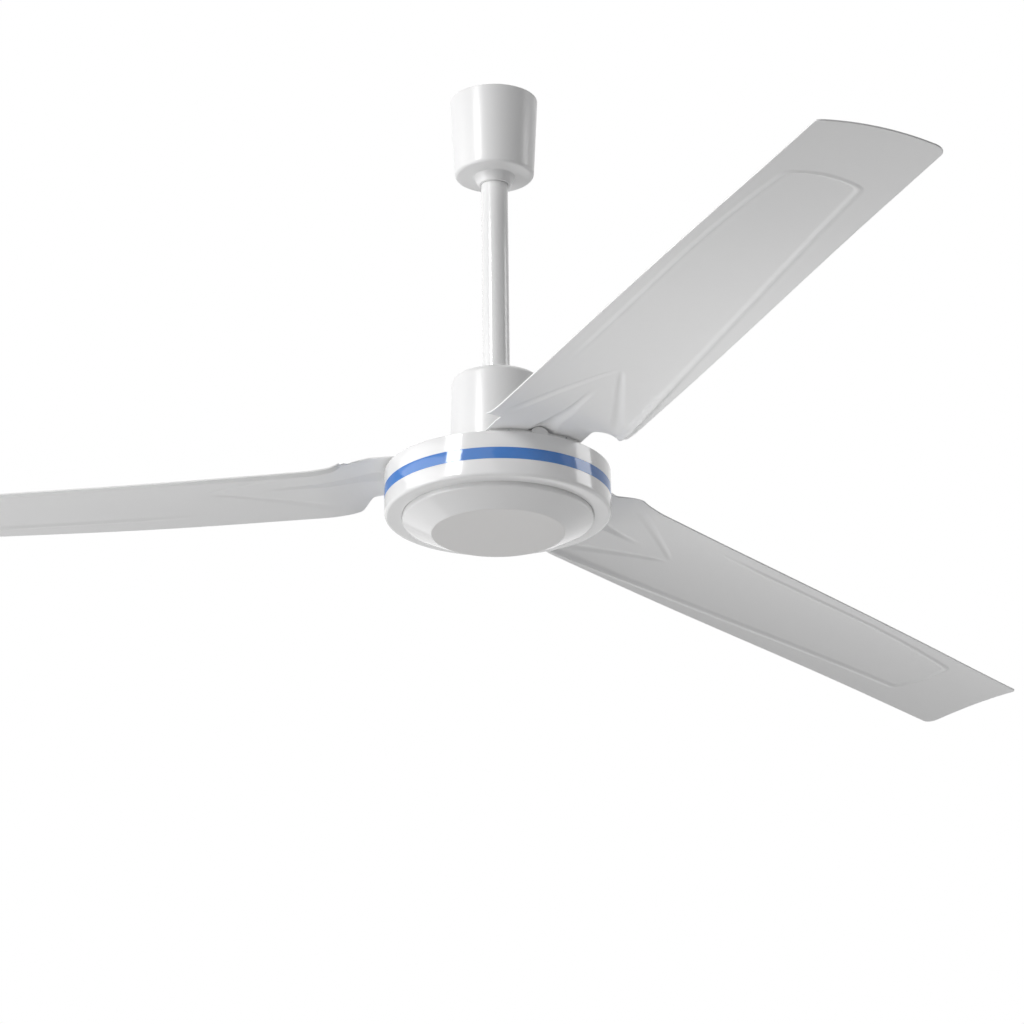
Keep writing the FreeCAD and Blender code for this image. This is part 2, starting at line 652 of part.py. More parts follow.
def bottom_cover():
    edge_z = COVER_SEAT - COVER_RIM
    slope = (edge_z - DISC_Z) / (COVER_R - DISC_R)
    inner_edge_r = COVER_R - COVER_WALL
    inner_disc_z = DISC_Z + COVER_WALL
    upright = COVER_WALL * math.sqrt(1 + slope * slope)
    inner_edge_z = edge_z - COVER_WALL * slope + upright
    inner_disc_r = DISC_R + (inner_disc_z - DISC_Z - upright) / slope
    spigot_in = BOSS_R + SEAT_PLAY
    spigot_out = spigot_in + COVER_WALL
    spigot_top = COVER_SEAT - RUNNING
    return turned([
        (0, DISC_Z), (DISC_R, DISC_Z, COVER_ROUND), (COVER_R, edge_z, COVER_ROUND), (COVER_R, COVER_SEAT),
        (inner_edge_r, COVER_SEAT), (inner_edge_r, inner_edge_z), (inner_disc_r, inner_disc_z),
        (spigot_out, inner_disc_z), (spigot_out, spigot_top), (spigot_in, spigot_top),
        (spigot_in, inner_disc_z), (0, inner_disc_z)])


# Blades, drawn along X and then turned to their places

def blade_angles():
    return [BLADE_FIRST_ANGLE + k * 360 / BLADE_COUNT for k in range(BLADE_COUNT)]


def screw_places():
    places = []
    for angle in blade_angles():
        turn = math.radians(angle)
        for r in BLADE_SCREW_RADII:
            for v in (-BLADE_SCREW_OFFSET, BLADE_SCREW_OFFSET):
                x = r * math.cos(turn) - v * math.sin(turn)
                y = r * math.sin(turn) + v * math.cos(turn)
                places.append((x, y))
    return places


def pan_head(diameter, seat, x, y, shank):
    """Round screw head on a seat, joined to its shank, with a cross recess."""
    radius = SCREW_HEAD_SHARE * diameter
    height = SCREW_HEAD_HEIGHT * diameter
    top = seat + height
    head = disc(radius, seat, top, x, y)
    rim = max(head.Edges, key=lambda edge: edge.CenterOfMass.z)
    head = head.makeFillet(height / 3, [rim])
    reach = radius / 2
    half = RECESS_SHARE * diameter
    low = top - height / 2
    cross = union([block(x - reach, x + reach, y - half, y + half, low, top),
                   block(x - half, x + half, y - reach, y + reach, low, top)])
    return union([head, shank]).cut(cross)


def blade_screws():
    screws = []
    seat = TAB_TOP + WASHER_SHEET
    for x, y in screw_places():
        shank = disc(BLADE_SCREW_D / 2, CAVITY_TOP - SCREW_SHOW, seat, x, y)
        screws.append(pan_head(BLADE_SCREW_D, seat, x, y, shank))
    return group(screws)


def blade_washers():
    washers = []
    for x, y in screw_places():
        outer = disc(WASHER_SHARE * BLADE_SCREW_D, TAB_TOP, TAB_TOP + WASHER_SHEET, x, y)
        hole = disc(BLADE_SCREW_D / 2 + HOLE_PLAY, TAB_TOP, TAB_TOP + WASHER_SHEET, x, y)
        washers.append(outer.cut(hole))
    return group(washers)


def eased(share):
    """Smooth step from 0 to 1."""
    share = min(max(share, 0), 1)
    return share * share * (3 - 2 * share)


def blade_under(r, v):
    """Height of the underside beyond the tab, at a radius and an offset to the trailing edge."""
    sag = eased((r - FLAT_END_R) / (SAG_FULL_R - FLAT_END_R))
    sag *= eased((SAG_END_R - r) / (SAG_END_R - SAG_FADE_R))
    fall = BLADE_DROOP * (r - FLAT_END_R) / (TIP_R - FLAT_END_R) + ROOT_SAG * sag
    share = min(max((r - ROOT_R) / (TIP_R - ROOT_R), 0), 1)
    pitch = math.radians(ROOT_PITCH + (TIP_PITCH - ROOT_PITCH) * share)
    camber = ROOT_CAMBER + (TIP_CAMBER - ROOT_CAMBER) * share
    half = ROOT_HALF_CHORD + (TIP_HALF_CHORD - ROOT_HALF_CHORD) * share
    shaping = eased((r - FLAT_END_R) / (SHAPED_R - FLAT_END_R))
    return TAB_UNDER - fall - shaping * (v * math.tan(pitch) + camber * (v / half) ** 2)


def blade_surface():
    rows = math.ceil((TIP_R + GRID_STEP - FLAT_END_R) / GRID_STEP)
    half = ROOT_HALF_CHORD + GRID_STEP
    across = [half * (2 * j / GRID_COLUMNS - 1) for j in range(GRID_COLUMNS + 1)]
    radii = [FLAT_END_R + i * GRID_STEP for i in range(rows + 1)]
    surface = Part.BSplineSurface()
    surface.interpolate([[point(r, v, blade_under(r, v)) for v in across] for r in radii])
    return surface.toShape()


def slab(face, low, high):
    """Sheet between two heights above the blade's underside, flat tab and shaped part in one."""
    shaped = face.copy()
    shaped.translate(point(0, 0, low))
    half = ROOT_HALF_CHORD + GRID_STEP
    tab = block(TAB_INNER_R - GRID_STEP, FLAT_END_R, -half, half, TAB_UNDER + low, TAB_UNDER + high)
    return tab.fuse(shaped.extrude(point(0, 0, high - low)))


def prism(corners):
    """Upright prism over a plan outline, tall enough to pass through the whole blade."""
    reach = ROOT_HALF_CHORD + BLADE_DROOP
    solid = extruded(corners, in_plan, point(0, 0, 2 * reach))
    solid.translate(point(0, 0, TAB_UNDER - reach))
    return solid


def blade_outline():
    tip = TIP_HALF_CHORD
    middle = (ROOT_HALF_CHORD + tip) / 2
    middle_r = (ROOT_R + TIP_R) / 2
    notch = NOTCH_DEPTH / 2

    def root_side(sign, opened):
        return [(TAB_INNER_R, sign * TAB_HALF_WIDTH, TAB_ROUND), (TAB_NECK_R, sign * TAB_HALF_WIDTH),
                (ROOT_R - NOTCH_DEPTH, sign * (TAB_HALF_WIDTH + notch + opened), notch),
                (ROOT_R, sign * ROOT_HALF_CHORD, ROOT_ROUND)]

    leading = root_side(-1, NOTCH_OPEN) + [(middle_r, -middle - EDGE_BOW, EDGE_SWEEP)]
    tip_edge = [(TIP_R - TIP_LEAD_SETBACK, -tip, TIP_LEAD_ROUND), (TIP_R + TIP_CROWN, 0, TIP_SWEEP),
                (TIP_R - TIP_TRAIL_SETBACK, tip, TIP_TRAIL_ROUND)]
    return leading + tip_edge + root_side(1, 0)[::-1]


def panel_outline():
    root = PANEL_ROOT_HALF
    tip = PANEL_TIP_HALF
    return [(PANEL_ROOT_R, -root, PANEL_ROUND), (PANEL_TIP_R, -tip, PANEL_ROUND),
            (PANEL_TIP_R, tip, PANEL_ROUND), (PANEL_ROOT_R, root, PANEL_ROUND)]


def spine_outline(inset):
    half = SPINE_HALF_WIDTH - inset
    blunt = half / RIB_BLUNT
    tip_r = SPINE_TIP_R - RIB_TAPER * inset
    return [(TAB_INNER_R, -half), (TAB_NECK_R, -half), (tip_r, -blunt), (tip_r, blunt),
            (TAB_NECK_R, half), (TAB_INNER_R, half)]


def vee_outline(inset):
    """One arm of the V-shaped rib, from its blunt tip out to the root corner."""
    half = VEE_WIDTH / 2 - inset
    blunt = half / RIB_BLUNT
    foot_r = VEE_FOOT_R + 2 * inset
    tip_r = VEE_APEX_R - RIB_TAPER * inset
    return [(foot_r, VEE_SPREAD - half), (tip_r, -blunt), (tip_r, blunt), (foot_r, VEE_SPREAD + half)]


def mirrored(corners):
    return [(r, -v) for r, v in reversed(corners)]


def blade():
    face = blade_surface()
    sheet = slab(face, 0, BLADE_SHEET).common(prism(blade_outline()))
    panel = prism(panel_outline())
    raised = slab(face, PANEL_RISE, PANEL_RISE + BLADE_SHEET).common(panel)
    body = sheet.cut(panel).fuse(raised)
    ribs = [(spine_outline, SPINE_RISE), (vee_outline, VEE_RISE)]
    for outline, rise in ribs:
        for side in (outline, lambda inset: mirrored(outline(inset))):
            body = body.fuse(slab(face, 0, rise + BLADE_SHEET).common(prism(side(0))))
    for outline, rise in ribs:
        for side in (outline, lambda inset: mirrored(outline(inset))):
            body = body.cut(slab(face, -BLADE_SHEET, rise).common(prism(side(BLADE_SHEET))))
    holes = []
    for r in BLADE_SCREW_RADII:
        for v in (-BLADE_SCREW_OFFSET, BLADE_SCREW_OFFSET):
            holes.append(disc(BLADE_SCREW_D / 2 + HOLE_PLAY, TAB_UNDER, TAB_TOP, r, v))
    return body.cut(group(holes))


# Canopies, which slide along the rod when their grub screws are loosened

def grub_hole(reach, height):
    return bar(GRUB_D / 2, point(0, 0, height), point(0, reach, height))


def grub_screw(reach, height):
    tip = ROD_R + RUNNING
    screw = bar(GRUB_D / 2, point(0, tip, height), point(0, reach, height))
    half = GRUB_D / 2
    slot = block(-half, half, reach - half / 2, reach, height - half / 4, height + half / 4)
    return screw.cut(slot)


def upper_canopy():
    bore = ROD_R + RUNNING
    floor = CANOPY_FOOT + CANOPY_WALL
    shell = turned([
        (CANOPY_RIM_R - CANOPY_WALL, CANOPY_TOP), (CANOPY_FOOT_R - CANOPY_WALL, floor, CANOPY_WALL),
        (bore, floor), (bore, CANOPY_FOOT - COLLAR_HEIGHT),
        (COLLAR_TIP_R, CANOPY_FOOT - COLLAR_HEIGHT), (COLLAR_BASE_R, CANOPY_FOOT, CANOPY_WALL / 2),
        (CANOPY_FOOT_R, CANOPY_FOOT, CANOPY_ROUND), (CANOPY_RIM_R, CANOPY_TOP)])
    return shell.cut(grub_hole(COLLAR_BASE_R + CANOPY_WALL, COLLAR_SCREW_Z))


def lower_canopy():
    bore = ROD_R + RUNNING
    roof = CUP_TOP - CANOPY_WALL
    neck = CUP_TOP + CUP_NECK_HEIGHT
    shell = turned([
        (bore, roof), (CUP_TOP_R - CANOPY_WALL, roof, CUP_ROUND - CANOPY_WALL),
        (CUP_FOOT_R - CANOPY_WALL, CUP_FOOT), (CUP_FOOT_R, CUP_FOOT), (CUP_TOP_R, CUP_TOP, CUP_ROUND),
        (CUP_NECK_R, CUP_TOP), (CUP_NECK_R, neck), (bore, neck)])
    return shell.cut(grub_hole(CUP_NECK_R + CANOPY_WALL, NECK_SCREW_Z))


def all_pieces():
    pieces = {
        "ceiling_bracket": ceiling_bracket(), "hanger_roller": hanger_roller(),
        "hanger_shackle": hanger_shackle(), "downrod": downrod(), "motor_shaft": motor_shaft(),
        "shaft_circlips": shaft_circlips(), "shaft_spacer": shaft_spacer(), "stator_core": stator_core(),
        "stator_windings": stator_windings(), "motor_lead": motor_lead(), "wiring_plate": wiring_plate(),
        "capacitor": capacitor(), "terminal_block": terminal_block(), "terminal_screws": terminal_screws(),
        "drum_pan": drum_pan(), "blue_band": blue_band(), "top_cover": top_cover(),
        "rotor_ring": rotor_ring(), "housing_bolts": housing_bolts(), "bottom_cover": bottom_cover(),
        "blade_screws": blade_screws(), "blade_washers": blade_washers(),
        "upper_canopy": upper_canopy(), "canopy_screw": grub_screw(COLLAR_TIP_R, COLLAR_SCREW_Z),
        "lower_canopy": lower_canopy(), "cup_screw": grub_screw(CUP_NECK_R, NECK_SCREW_Z)}
    bolts = {
        "hanger": bolt_set(HANGER_BOLT_D, 2 * EAR_OUT, False, ROLLER_Z),
        "shackle": bolt_set(ROD_BOLT_D, 2 * SHACKLE_OUT, True, SHACKLE_BOLT_Z),
        "coupling": bolt_set(ROD_BOLT_D, ROD_OD, True, COUPLING_Z)}
    for name, (bolt, nut, cotter) in bolts.items():
        pieces[name + "_bolt"] = bolt
        pieces[name + "_nut"] = nut
        pieces[name + "_cotter"] = cotter
    for name, foot in (("upper", UPPER_RACE_FOOT), ("lower", LOWER_RACE_FOOT)):
        pieces[name + "_bearing_inner_race"] = inner_race(foot)
        pieces[name + "_bearing_outer_race"] = outer_race(foot)
        pieces[name + "_bearing_balls"] = bearing_balls(foot)
    shape = blade()
    for number, angle in enumerate(blade_angles(), 1):
        pieces["blade_%d" % number] = spun(shape, angle)
    return pieces


os.makedirs("parts", exist_ok=True)
for piece_name, piece_shape in all_pieces().items():
    save(piece_name, piece_shape)
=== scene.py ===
import bmesh
import bpy
import json
import math
from mathutils import Matrix, Vector


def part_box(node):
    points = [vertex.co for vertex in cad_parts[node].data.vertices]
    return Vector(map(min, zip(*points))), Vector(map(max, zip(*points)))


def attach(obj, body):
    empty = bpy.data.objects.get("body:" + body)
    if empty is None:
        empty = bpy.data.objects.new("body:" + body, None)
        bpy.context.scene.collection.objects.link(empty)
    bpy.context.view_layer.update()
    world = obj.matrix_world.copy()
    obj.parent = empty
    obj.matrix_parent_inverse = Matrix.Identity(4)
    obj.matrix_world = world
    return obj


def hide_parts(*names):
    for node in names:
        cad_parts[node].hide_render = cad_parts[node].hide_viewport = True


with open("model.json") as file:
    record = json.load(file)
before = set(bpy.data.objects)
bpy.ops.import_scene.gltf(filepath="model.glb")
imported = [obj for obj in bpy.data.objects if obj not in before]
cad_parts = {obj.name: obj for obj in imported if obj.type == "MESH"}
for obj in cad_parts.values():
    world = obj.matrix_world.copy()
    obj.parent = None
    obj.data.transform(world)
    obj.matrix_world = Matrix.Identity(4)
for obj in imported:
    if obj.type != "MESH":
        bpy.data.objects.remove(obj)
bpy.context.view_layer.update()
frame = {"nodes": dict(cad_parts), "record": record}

MM = 0.001

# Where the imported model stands

def foot_of(node):
    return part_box(node)[0].z


def top_of(node):
    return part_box(node)[1].z


def radius_of(node):
    """Largest radius of a turned piece."""
    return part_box(node)[1].y


CANOPY_TOP = top_of("upper_canopy")
COLLAR_FOOT = foot_of("upper_canopy")
CANOPY_RIM_R = radius_of("upper_canopy")
CUP_FOOT = foot_of("lower_canopy")
CUP_NECK_TOP = top_of("lower_canopy")
CUP_FOOT_R = radius_of("lower_canopy")
ROD_R = radius_of("downrod")
ROD_FOOT = foot_of("downrod")
ROD_TOP = top_of("downrod")
DRUM_R = radius_of("drum_pan")
DRUM_TOP = top_of("drum_pan")
BAND_TOP = top_of("blue_band")
BAND_FOOT = foot_of("blue_band")
DRUM_FOOT = BAND_FOOT - (DRUM_TOP - BAND_TOP)
BOSS_FOOT = foot_of("drum_pan")
COVER_R = radius_of("bottom_cover")
COVER_SEAT = top_of("bottom_cover")
DISC_Z = foot_of("bottom_cover")
BLADE_ANGLES = {"blade_1": 60, "blade_2": 180, "blade_3": 300}
TIP_R = -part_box("blade_2")[0].x


# Node graphs

class Reading:
    """What one node socket carries. Arithmetic on it adds Math nodes to the same graph."""

    def __init__(self, graph, socket):
        self.graph = graph
        self.socket = socket

    def __add__(self, other):
        return self.graph.math("ADD", self, other)

    def __radd__(self, other):
        return self.graph.math("ADD", other, self)

    def __sub__(self, other):
        return self.graph.math("SUBTRACT", self, other)

    def __rsub__(self, other):
        return self.graph.math("SUBTRACT", other, self)

    def __mul__(self, other):
        return self.graph.math("MULTIPLY", self, other)

    def __rmul__(self, other):
        return self.graph.math("MULTIPLY", other, self)

    def __truediv__(self, other):
        return self.graph.math("DIVIDE", self, other)

    def __rtruediv__(self, other):
        return self.graph.math("DIVIDE", other, self)

    def __abs__(self):
        return self.graph.math("ABSOLUTE", self)


class Graph:
    """A node tree, with one way to add any node and short ways to add the usual maths."""

    def __init__(self, tree):
        self.tree = tree

    def node(self, kind, settings=None, sockets=None):
        """Adds a node of this type. Settings go first, then the values or links of its sockets."""
        made = self.tree.nodes.new(kind)
        for name, value in (settings or {}).items():
            setattr(made, name, value)
        for key, value in (sockets or {}).items():
            if isinstance(value, Reading):
                self.tree.links.new(value.socket, made.inputs[key])
            else:
                made.inputs[key].default_value = value
        return made

    def read(self, node, output=0):
        return Reading(self, node.outputs[output])

    def math(self, operation, *values):
        return self.read(self.node("ShaderNodeMath", {"operation": operation}, dict(enumerate(values))))

    def largest(self, a, b):
        return self.math("MAXIMUM", a, b)

    def smallest(self, a, b):
        return self.math("MINIMUM", a, b)

    def root(self, a):
        return self.math("SQRT", a)

    def blended_smallest(self, a, b, reach):
        return self.math("SMOOTH_MIN", a, b, reach)

    def ranged(self, value, low, high, shape="LINEAR"):
        """0 at low, 1 at high, clamped outside."""
        sockets = {"Value": value, "From Min": low, "From Max": high}
        return self.read(self.node("ShaderNodeMapRange", {"interpolation_type": shape}, sockets))

    def eased(self, value, low, high):
        """0 at low, 1 at high, with a soft start and end."""
        return self.ranged(value, low, high, "SMOOTHSTEP")

    def apart(self, vector):
        """The three numbers of a vector."""
        split = self.node("ShaderNodeSeparateXYZ", None, {0: vector})
        return [self.read(split, axis) for axis in range(3)]

    def together(self, x, y, z):
        return self.read(self.node("ShaderNodeCombineXYZ", None, {0: x, 1: y, 2: z}))

    def stretched(self, vector, *scale):
        return self.read(self.node("ShaderNodeMapping", None, {"Vector": vector, "Scale": scale}))

    def mixed(self, factor, a, b):
        """Colour a at factor 0, colour b at factor 1."""
        return self.read(self.node("ShaderNodeMix", {"data_type": "RGBA"}, {0: factor, 6: a, 7: b}), 2)

    def noise(self, vector, scale, detail=2.0):
        sockets = {"Vector": vector, "Scale": scale, "Detail": detail}
        return self.read(self.node("ShaderNodeTexNoise", None, sockets))

    def bump(self, height, depth, strength):
        sockets = {"Height": height, "Distance": depth, "Strength": strength}
        return self.read(self.node("ShaderNodeBump", None, sockets))


def turned_place(graph, reach, aside, turn):
    """Where a place at this reach and this far aside of it comes to lie after the turn."""
    cosine, sine = graph.math("COSINE", turn), graph.math("SINE", turn)
    return reach * cosine - aside * sine, reach * sine + aside * cosine


def sized_tree(name, sizes, finish_input, result):
    """A geometry tree with an input for each size and for its finish, and the readings of its sizes."""
    tree = bpy.data.node_groups.new(name, "GeometryNodeTree")
    for label, value in sizes.items():
        socket = tree.interface.new_socket(label, in_out="INPUT", socket_type="NodeSocketFloat")
        socket.default_value = value
    tree.interface.new_socket(finish_input, in_out="INPUT", socket_type="NodeSocketMaterial")
    tree.interface.new_socket(result, in_out="OUTPUT", socket_type="NodeSocketGeometry")
    graph = Graph(tree)
    given = graph.node("NodeGroupInput")
    return graph, given, {label: graph.read(given, label) for label in sizes}


def formed_lattice(graph, rows, columns, spot):
    """A sheet of rows and columns, with every corner moved to its spot."""
    lattice = graph.node("GeometryNodeMeshGrid", None,
                         {"Size X": 1.0, "Size Y": 1.0, "Vertices X": rows, "Vertices Y": columns})
    return graph.node("GeometryNodeSetPosition", None,
                      {"Geometry": graph.read(lattice), "Position": spot})


def lattice_shares(graph):
    """How far a corner of the sheet is along its rows, 0 to 1, and across them, -0.5 to 0.5."""
    along, across, _ = graph.apart(graph.read(graph.node("GeometryNodeInputPosition")))
    return along + 0.5, across


def finished_tree(graph, made, material):
    """Ends a tree with plain geometry in this finish."""
    whole = graph.node("GeometryNodeRealizeInstances", None, {0: graph.read(made)})
    dressed = graph.node("GeometryNodeSetMaterial", None,
                         {"Geometry": graph.read(whole), "Material": material})
    graph.node("NodeGroupOutput", None, {0: graph.read(dressed)})
    return graph.tree


def plain_mesh(holder, name):
    """The evaluated shape of an object as a plain mesh. The object goes."""
    bpy.context.scene.collection.objects.link(holder)
    mesh = bpy.data.meshes.new_from_object(holder.evaluated_get(bpy.context.evaluated_depsgraph_get()))
    holder.modifiers.clear()
    bpy.data.objects.remove(holder)
    mesh.name = name
    return mesh


def grown(name, tree, inputs):
    """Runs a tree on an empty piece and keeps the result as a plain mesh."""
    holder = bpy.data.objects.new(name, bpy.data.meshes.new(name))
    maker = holder.modifiers.new("maker", "NODES")
    maker.node_group = tree
    for item in tree.interface.items_tree:
        if item.name in inputs:
            maker[item.identifier] = inputs[item.name]
    return plain_mesh(holder, name)


# Turned pieces

ROUND_STEPS = 8


def rounded_line(corners):
    """The closed half-section through (radius, height) corners. A third number rounds that corner."""
    line = []
    for index, corner in enumerate(corners):
        here = Vector(corner[:2])
        if len(corner) == 2:
            line.append(here)
            continue
        before = (Vector(corners[index - 1][:2]) - here).normalized()
        after = (Vector(corners[(index + 1) % len(corners)][:2]) - here).normalized()
        half = before.angle(after) / 2
        centre = here + (before + after).normalized() * corner[2] / math.sin(half)
        start = here + before * corner[2] / math.tan(half) - centre
        sweep = start.angle_signed(here + after * corner[2] / math.tan(half) - centre)
        for step in range(ROUND_STEPS + 1):
            line.append(centre + Matrix.Rotation(-sweep * step / ROUND_STEPS, 2) @ start)
    return line


def circle(radius, height, steps):
    """Places round the rod's axis."""
    turns = [2 * math.pi * step / steps for step in range(steps)]
    return [(radius * math.cos(turn), radius * math.sin(turn), height) for turn in turns]


TURNED_STEPS = 192
ON_AXIS = 1e-6              # a smaller radius is a point on the axis
SAME_PLACE = 1e-7


def turned_mesh(name, corners):
    """A closed solid of revolution about the rod's axis."""
    shell = bmesh.new()
    rings = []
    for radius, height in rounded_line(corners):
        places = [(0, 0, height)] if radius < ON_AXIS else circle(radius, height, TURNED_STEPS)
        rings.append([shell.verts.new(place) for place in places])
    for low, high in zip(rings, rings[1:] + rings[:1]):
        if len(low) == 1 and len(high) == 1:
            continue
        for step in range(TURNED_STEPS):
            near = [low[step % len(low)], low[(step + 1) % len(low)]]
            far = [high[(step + 1) % len(high)], high[step % len(high)]]
            shell.faces.new(dict.fromkeys(near + far))
    bmesh.ops.remove_doubles(shell, verts=shell.verts, dist=SAME_PLACE)
    bmesh.ops.recalc_face_normals(shell, faces=shell.faces)
    mesh = bpy.data.meshes.new(name)
    shell.to_mesh(mesh)
    shell.free()
    return mesh


WALL = 2.0 * MM
BORE = ROD_R + 0.3 * MM
EASE = 0.5 * MM             # edges that a mould leaves slightly round

CANOPY_FOOT = COLLAR_FOOT + 7.5 * MM
CANOPY_FOOT_R = CANOPY_RIM_R - 3.7 * MM
CANOPY_ROUND = 3.0 * MM
COLLAR_BASE_R = ROD_R + 6.0 * MM
COLLAR_TIP_R = ROD_R + 2.2 * MM


def canopy_line():
    """The upper canopy: an open cup with a short collar below."""
    floor = CANOPY_FOOT + WALL
    return [
        (CANOPY_RIM_R - WALL, CANOPY_TOP, EASE), (CANOPY_FOOT_R - WALL, floor, WALL), (BORE, floor),
        (BORE, COLLAR_FOOT), (COLLAR_TIP_R, COLLAR_FOOT, EASE), (COLLAR_BASE_R, CANOPY_FOOT, WALL / 2),
        (CANOPY_FOOT_R, CANOPY_FOOT, CANOPY_ROUND), (CANOPY_RIM_R, CANOPY_TOP, EASE)]


CUP_TOP = CUP_NECK_TOP - 7.0 * MM
CUP_TOP_R = CUP_FOOT_R - 1.9 * MM
CUP_ROUND = 5.0 * MM
NECK_R = ROD_R + 4.0 * MM


def cup_line():
    """The lower canopy: a cup upside down, with a neck round the rod."""
    roof = CUP_TOP - WALL
    return [
        (BORE, roof), (CUP_TOP_R - WALL, roof, CUP_ROUND - WALL), (CUP_FOOT_R - WALL, CUP_FOOT, EASE),
        (CUP_FOOT_R, CUP_FOOT, EASE), (CUP_TOP_R, CUP_TOP, CUP_ROUND), (NECK_R, CUP_TOP, EASE),
        (NECK_R, CUP_NECK_TOP, 2 * EASE), (BORE, CUP_NECK_TOP)]


ROD_WALL = 2.2 * MM


def rod_line():
    """The tube that the motor hangs from."""
    inner = ROD_R - ROD_WALL
    return [(inner, ROD_FOOT), (ROD_R, ROD_FOOT, EASE), (ROD_R, ROD_TOP, EASE), (inner, ROD_TOP)]


DRUM_WALL = 2.5 * MM
DRUM_FLOOR = 3.0 * MM
TOP_PLATE = 3.0 * MM
BAND_DEPTH = 1.2 * MM
BAND_EASE = 0.2 * MM
DRUM_FOOT_ROUND = 3.0 * MM
RIM_ROUND = 0.8 * MM
COVER_GAP = 0.2 * MM
BEARING_R = radius_of("lower_bearing_outer_race")
BOSS_R = BEARING_R + 4.0 * MM


def drum_line():
    """The drum: a pan with a groove for the band, a step for the cover and a boss for the bearing."""
    bore = DRUM_R - DRUM_WALL
    rim = (DRUM_R + bore) / 2
    groove = DRUM_R - BAND_DEPTH
    floor = DRUM_FOOT + DRUM_FLOOR
    race_foot = foot_of("lower_bearing_outer_race")
    race_top = top_of("lower_bearing_outer_race")
    lip = BEARING_R - WALL
    return [
        (lip, BOSS_FOOT), (BOSS_R, BOSS_FOOT), (BOSS_R, COVER_SEAT), (COVER_R + COVER_GAP, COVER_SEAT),
        (COVER_R + COVER_GAP, DRUM_FOOT, RIM_ROUND), (DRUM_R, DRUM_FOOT, DRUM_FOOT_ROUND),
        (DRUM_R, BAND_FOOT, BAND_EASE), (groove, BAND_FOOT), (groove, BAND_TOP),
        (DRUM_R, BAND_TOP, BAND_EASE), (DRUM_R, DRUM_TOP, RIM_ROUND), (rim, DRUM_TOP),
        (rim, DRUM_TOP - TOP_PLATE), (bore, DRUM_TOP - TOP_PLATE), (bore, floor), (BOSS_R, floor),
        (BOSS_R, race_top + EASE), (BEARING_R, race_top + EASE), (BEARING_R, race_foot), (lip, race_foot)]


def band_line():
    """The blue band, flush in its groove."""
    groove = DRUM_R - BAND_DEPTH
    return [(groove, BAND_FOOT), (DRUM_R, BAND_FOOT, BAND_EASE), (DRUM_R, BAND_TOP, BAND_EASE),
            (groove, BAND_TOP)]


DISC_R = 53.3 * MM
COVER_RIM = 4.5 * MM
COVER_ROUND = 2.4 * MM


def cover_line():
    """The bottom cover: a flat disc, a slope up to the rim, and a spigot over the boss."""
    edge = COVER_SEAT - COVER_RIM
    inside = DISC_Z + WALL
    spigot = BOSS_R + COVER_GAP
    return [
        (0, DISC_Z), (DISC_R, DISC_Z, COVER_ROUND), (COVER_R, edge, COVER_ROUND), (COVER_R, COVER_SEAT),
        (COVER_R - WALL, COVER_SEAT), (COVER_R - WALL, edge + WALL / 2), (DISC_R - EASE, inside),
        (spigot + WALL, inside), (spigot + WALL, COVER_SEAT - COVER_GAP),
        (spigot, COVER_SEAT - COVER_GAP), (spigot, inside), (0, inside)]


# Pressed blades

# Radius is counted from the rod's axis along the blade, and the distance across it from the blade's middle
# line, positive on the trailing side.

BLADE_SHEET = 1.2 * MM
BLADE_SIZES = {
    "Tab Radius": 56.0 * MM, "Tab Half Width": 40.0 * MM, "Neck Radius": 104.0 * MM,
    "Flat Radius": 96.0 * MM, "Root Radius": 119.0 * MM, "Tip Radius": TIP_R,
    "Root Half Chord": 58.0 * MM, "Tip Half Chord": 48.5 * MM,
    "Under Height": foot_of("blade_washers") - BLADE_SHEET, "Droop": 11.6 * MM, "Root Sag": 4.2 * MM,
    "Root Slope": math.tan(math.radians(2.9)), "Tip Slope": math.tan(math.radians(4.8)),
    "Root Camber": 7.7 * MM, "Tip Camber": 3.4 * MM,
    "Bead Drop": 1.0 * MM, "Root Bead": 2.2 * MM, "Vee Rise": 1.1 * MM, "Spine Rise": 4.0 * MM,
}
TIP_ZONE = 16.0 * MM
COLUMNS = 111

# Where each zone of the sheet ends, and its number of rows
ROW_ZONES = ((130.0 * MM, 78), (245.0 * MM, 110), (598.0 * MM, 92), (626.0 * MM, 34),
             (TIP_R - TIP_ZONE, 20), (TIP_R, 26))
ROWS = sum(count for _, count in ROW_ZONES)


def lattice_radius(graph, share, size):
    """Radius of each row, with more rows where the sheet has finer forms."""
    radius = size["Tab Radius"]
    before = BLADE_SIZES["Tab Radius"]
    passed = 0
    for end, count in ROW_ZONES:
        part = graph.ranged(share, passed / ROWS, (passed + count) / ROWS)
        radius = radius + part * (end - before)
        before = end
        passed += count
    return radius


LEAD_TAPER = (250.0 * MM, 700.0 * MM)
TAB_FLARE = 2.5 * MM
LEAD_NECK = 2.0 * MM        # the leading side opens this far past the neck
TRAIL_NOTCH = 5.0 * MM      # the trailing side opens this far before the root
ROOT_CORNER = 1.5 * MM      # both are open this far past the root


def half_width(graph, radius, trailing, size):
    """From the middle line to the edge: the tab, a notch behind it, and the tapered body."""
    root = size["Root Radius"]
    drop = size["Root Half Chord"] - size["Tip Half Chord"]
    lead = size["Root Half Chord"] - drop * graph.eased(radius, *LEAD_TAPER)
    trail = size["Root Half Chord"] - drop * graph.ranged(radius, root, size["Tip Radius"])
    body = lead + (trail - lead) * trailing
    notch = root - TRAIL_NOTCH
    tab = size["Tab Half Width"] + graph.eased(radius, size["Neck Radius"], notch) * TAB_FLARE
    corner = root + ROOT_CORNER
    open_lead = graph.eased(radius, size["Neck Radius"] + LEAD_NECK, corner)
    open_trail = graph.eased(radius, notch, corner)
    return tab + (body - tab) * (open_lead + (open_trail - open_lead) * trailing)


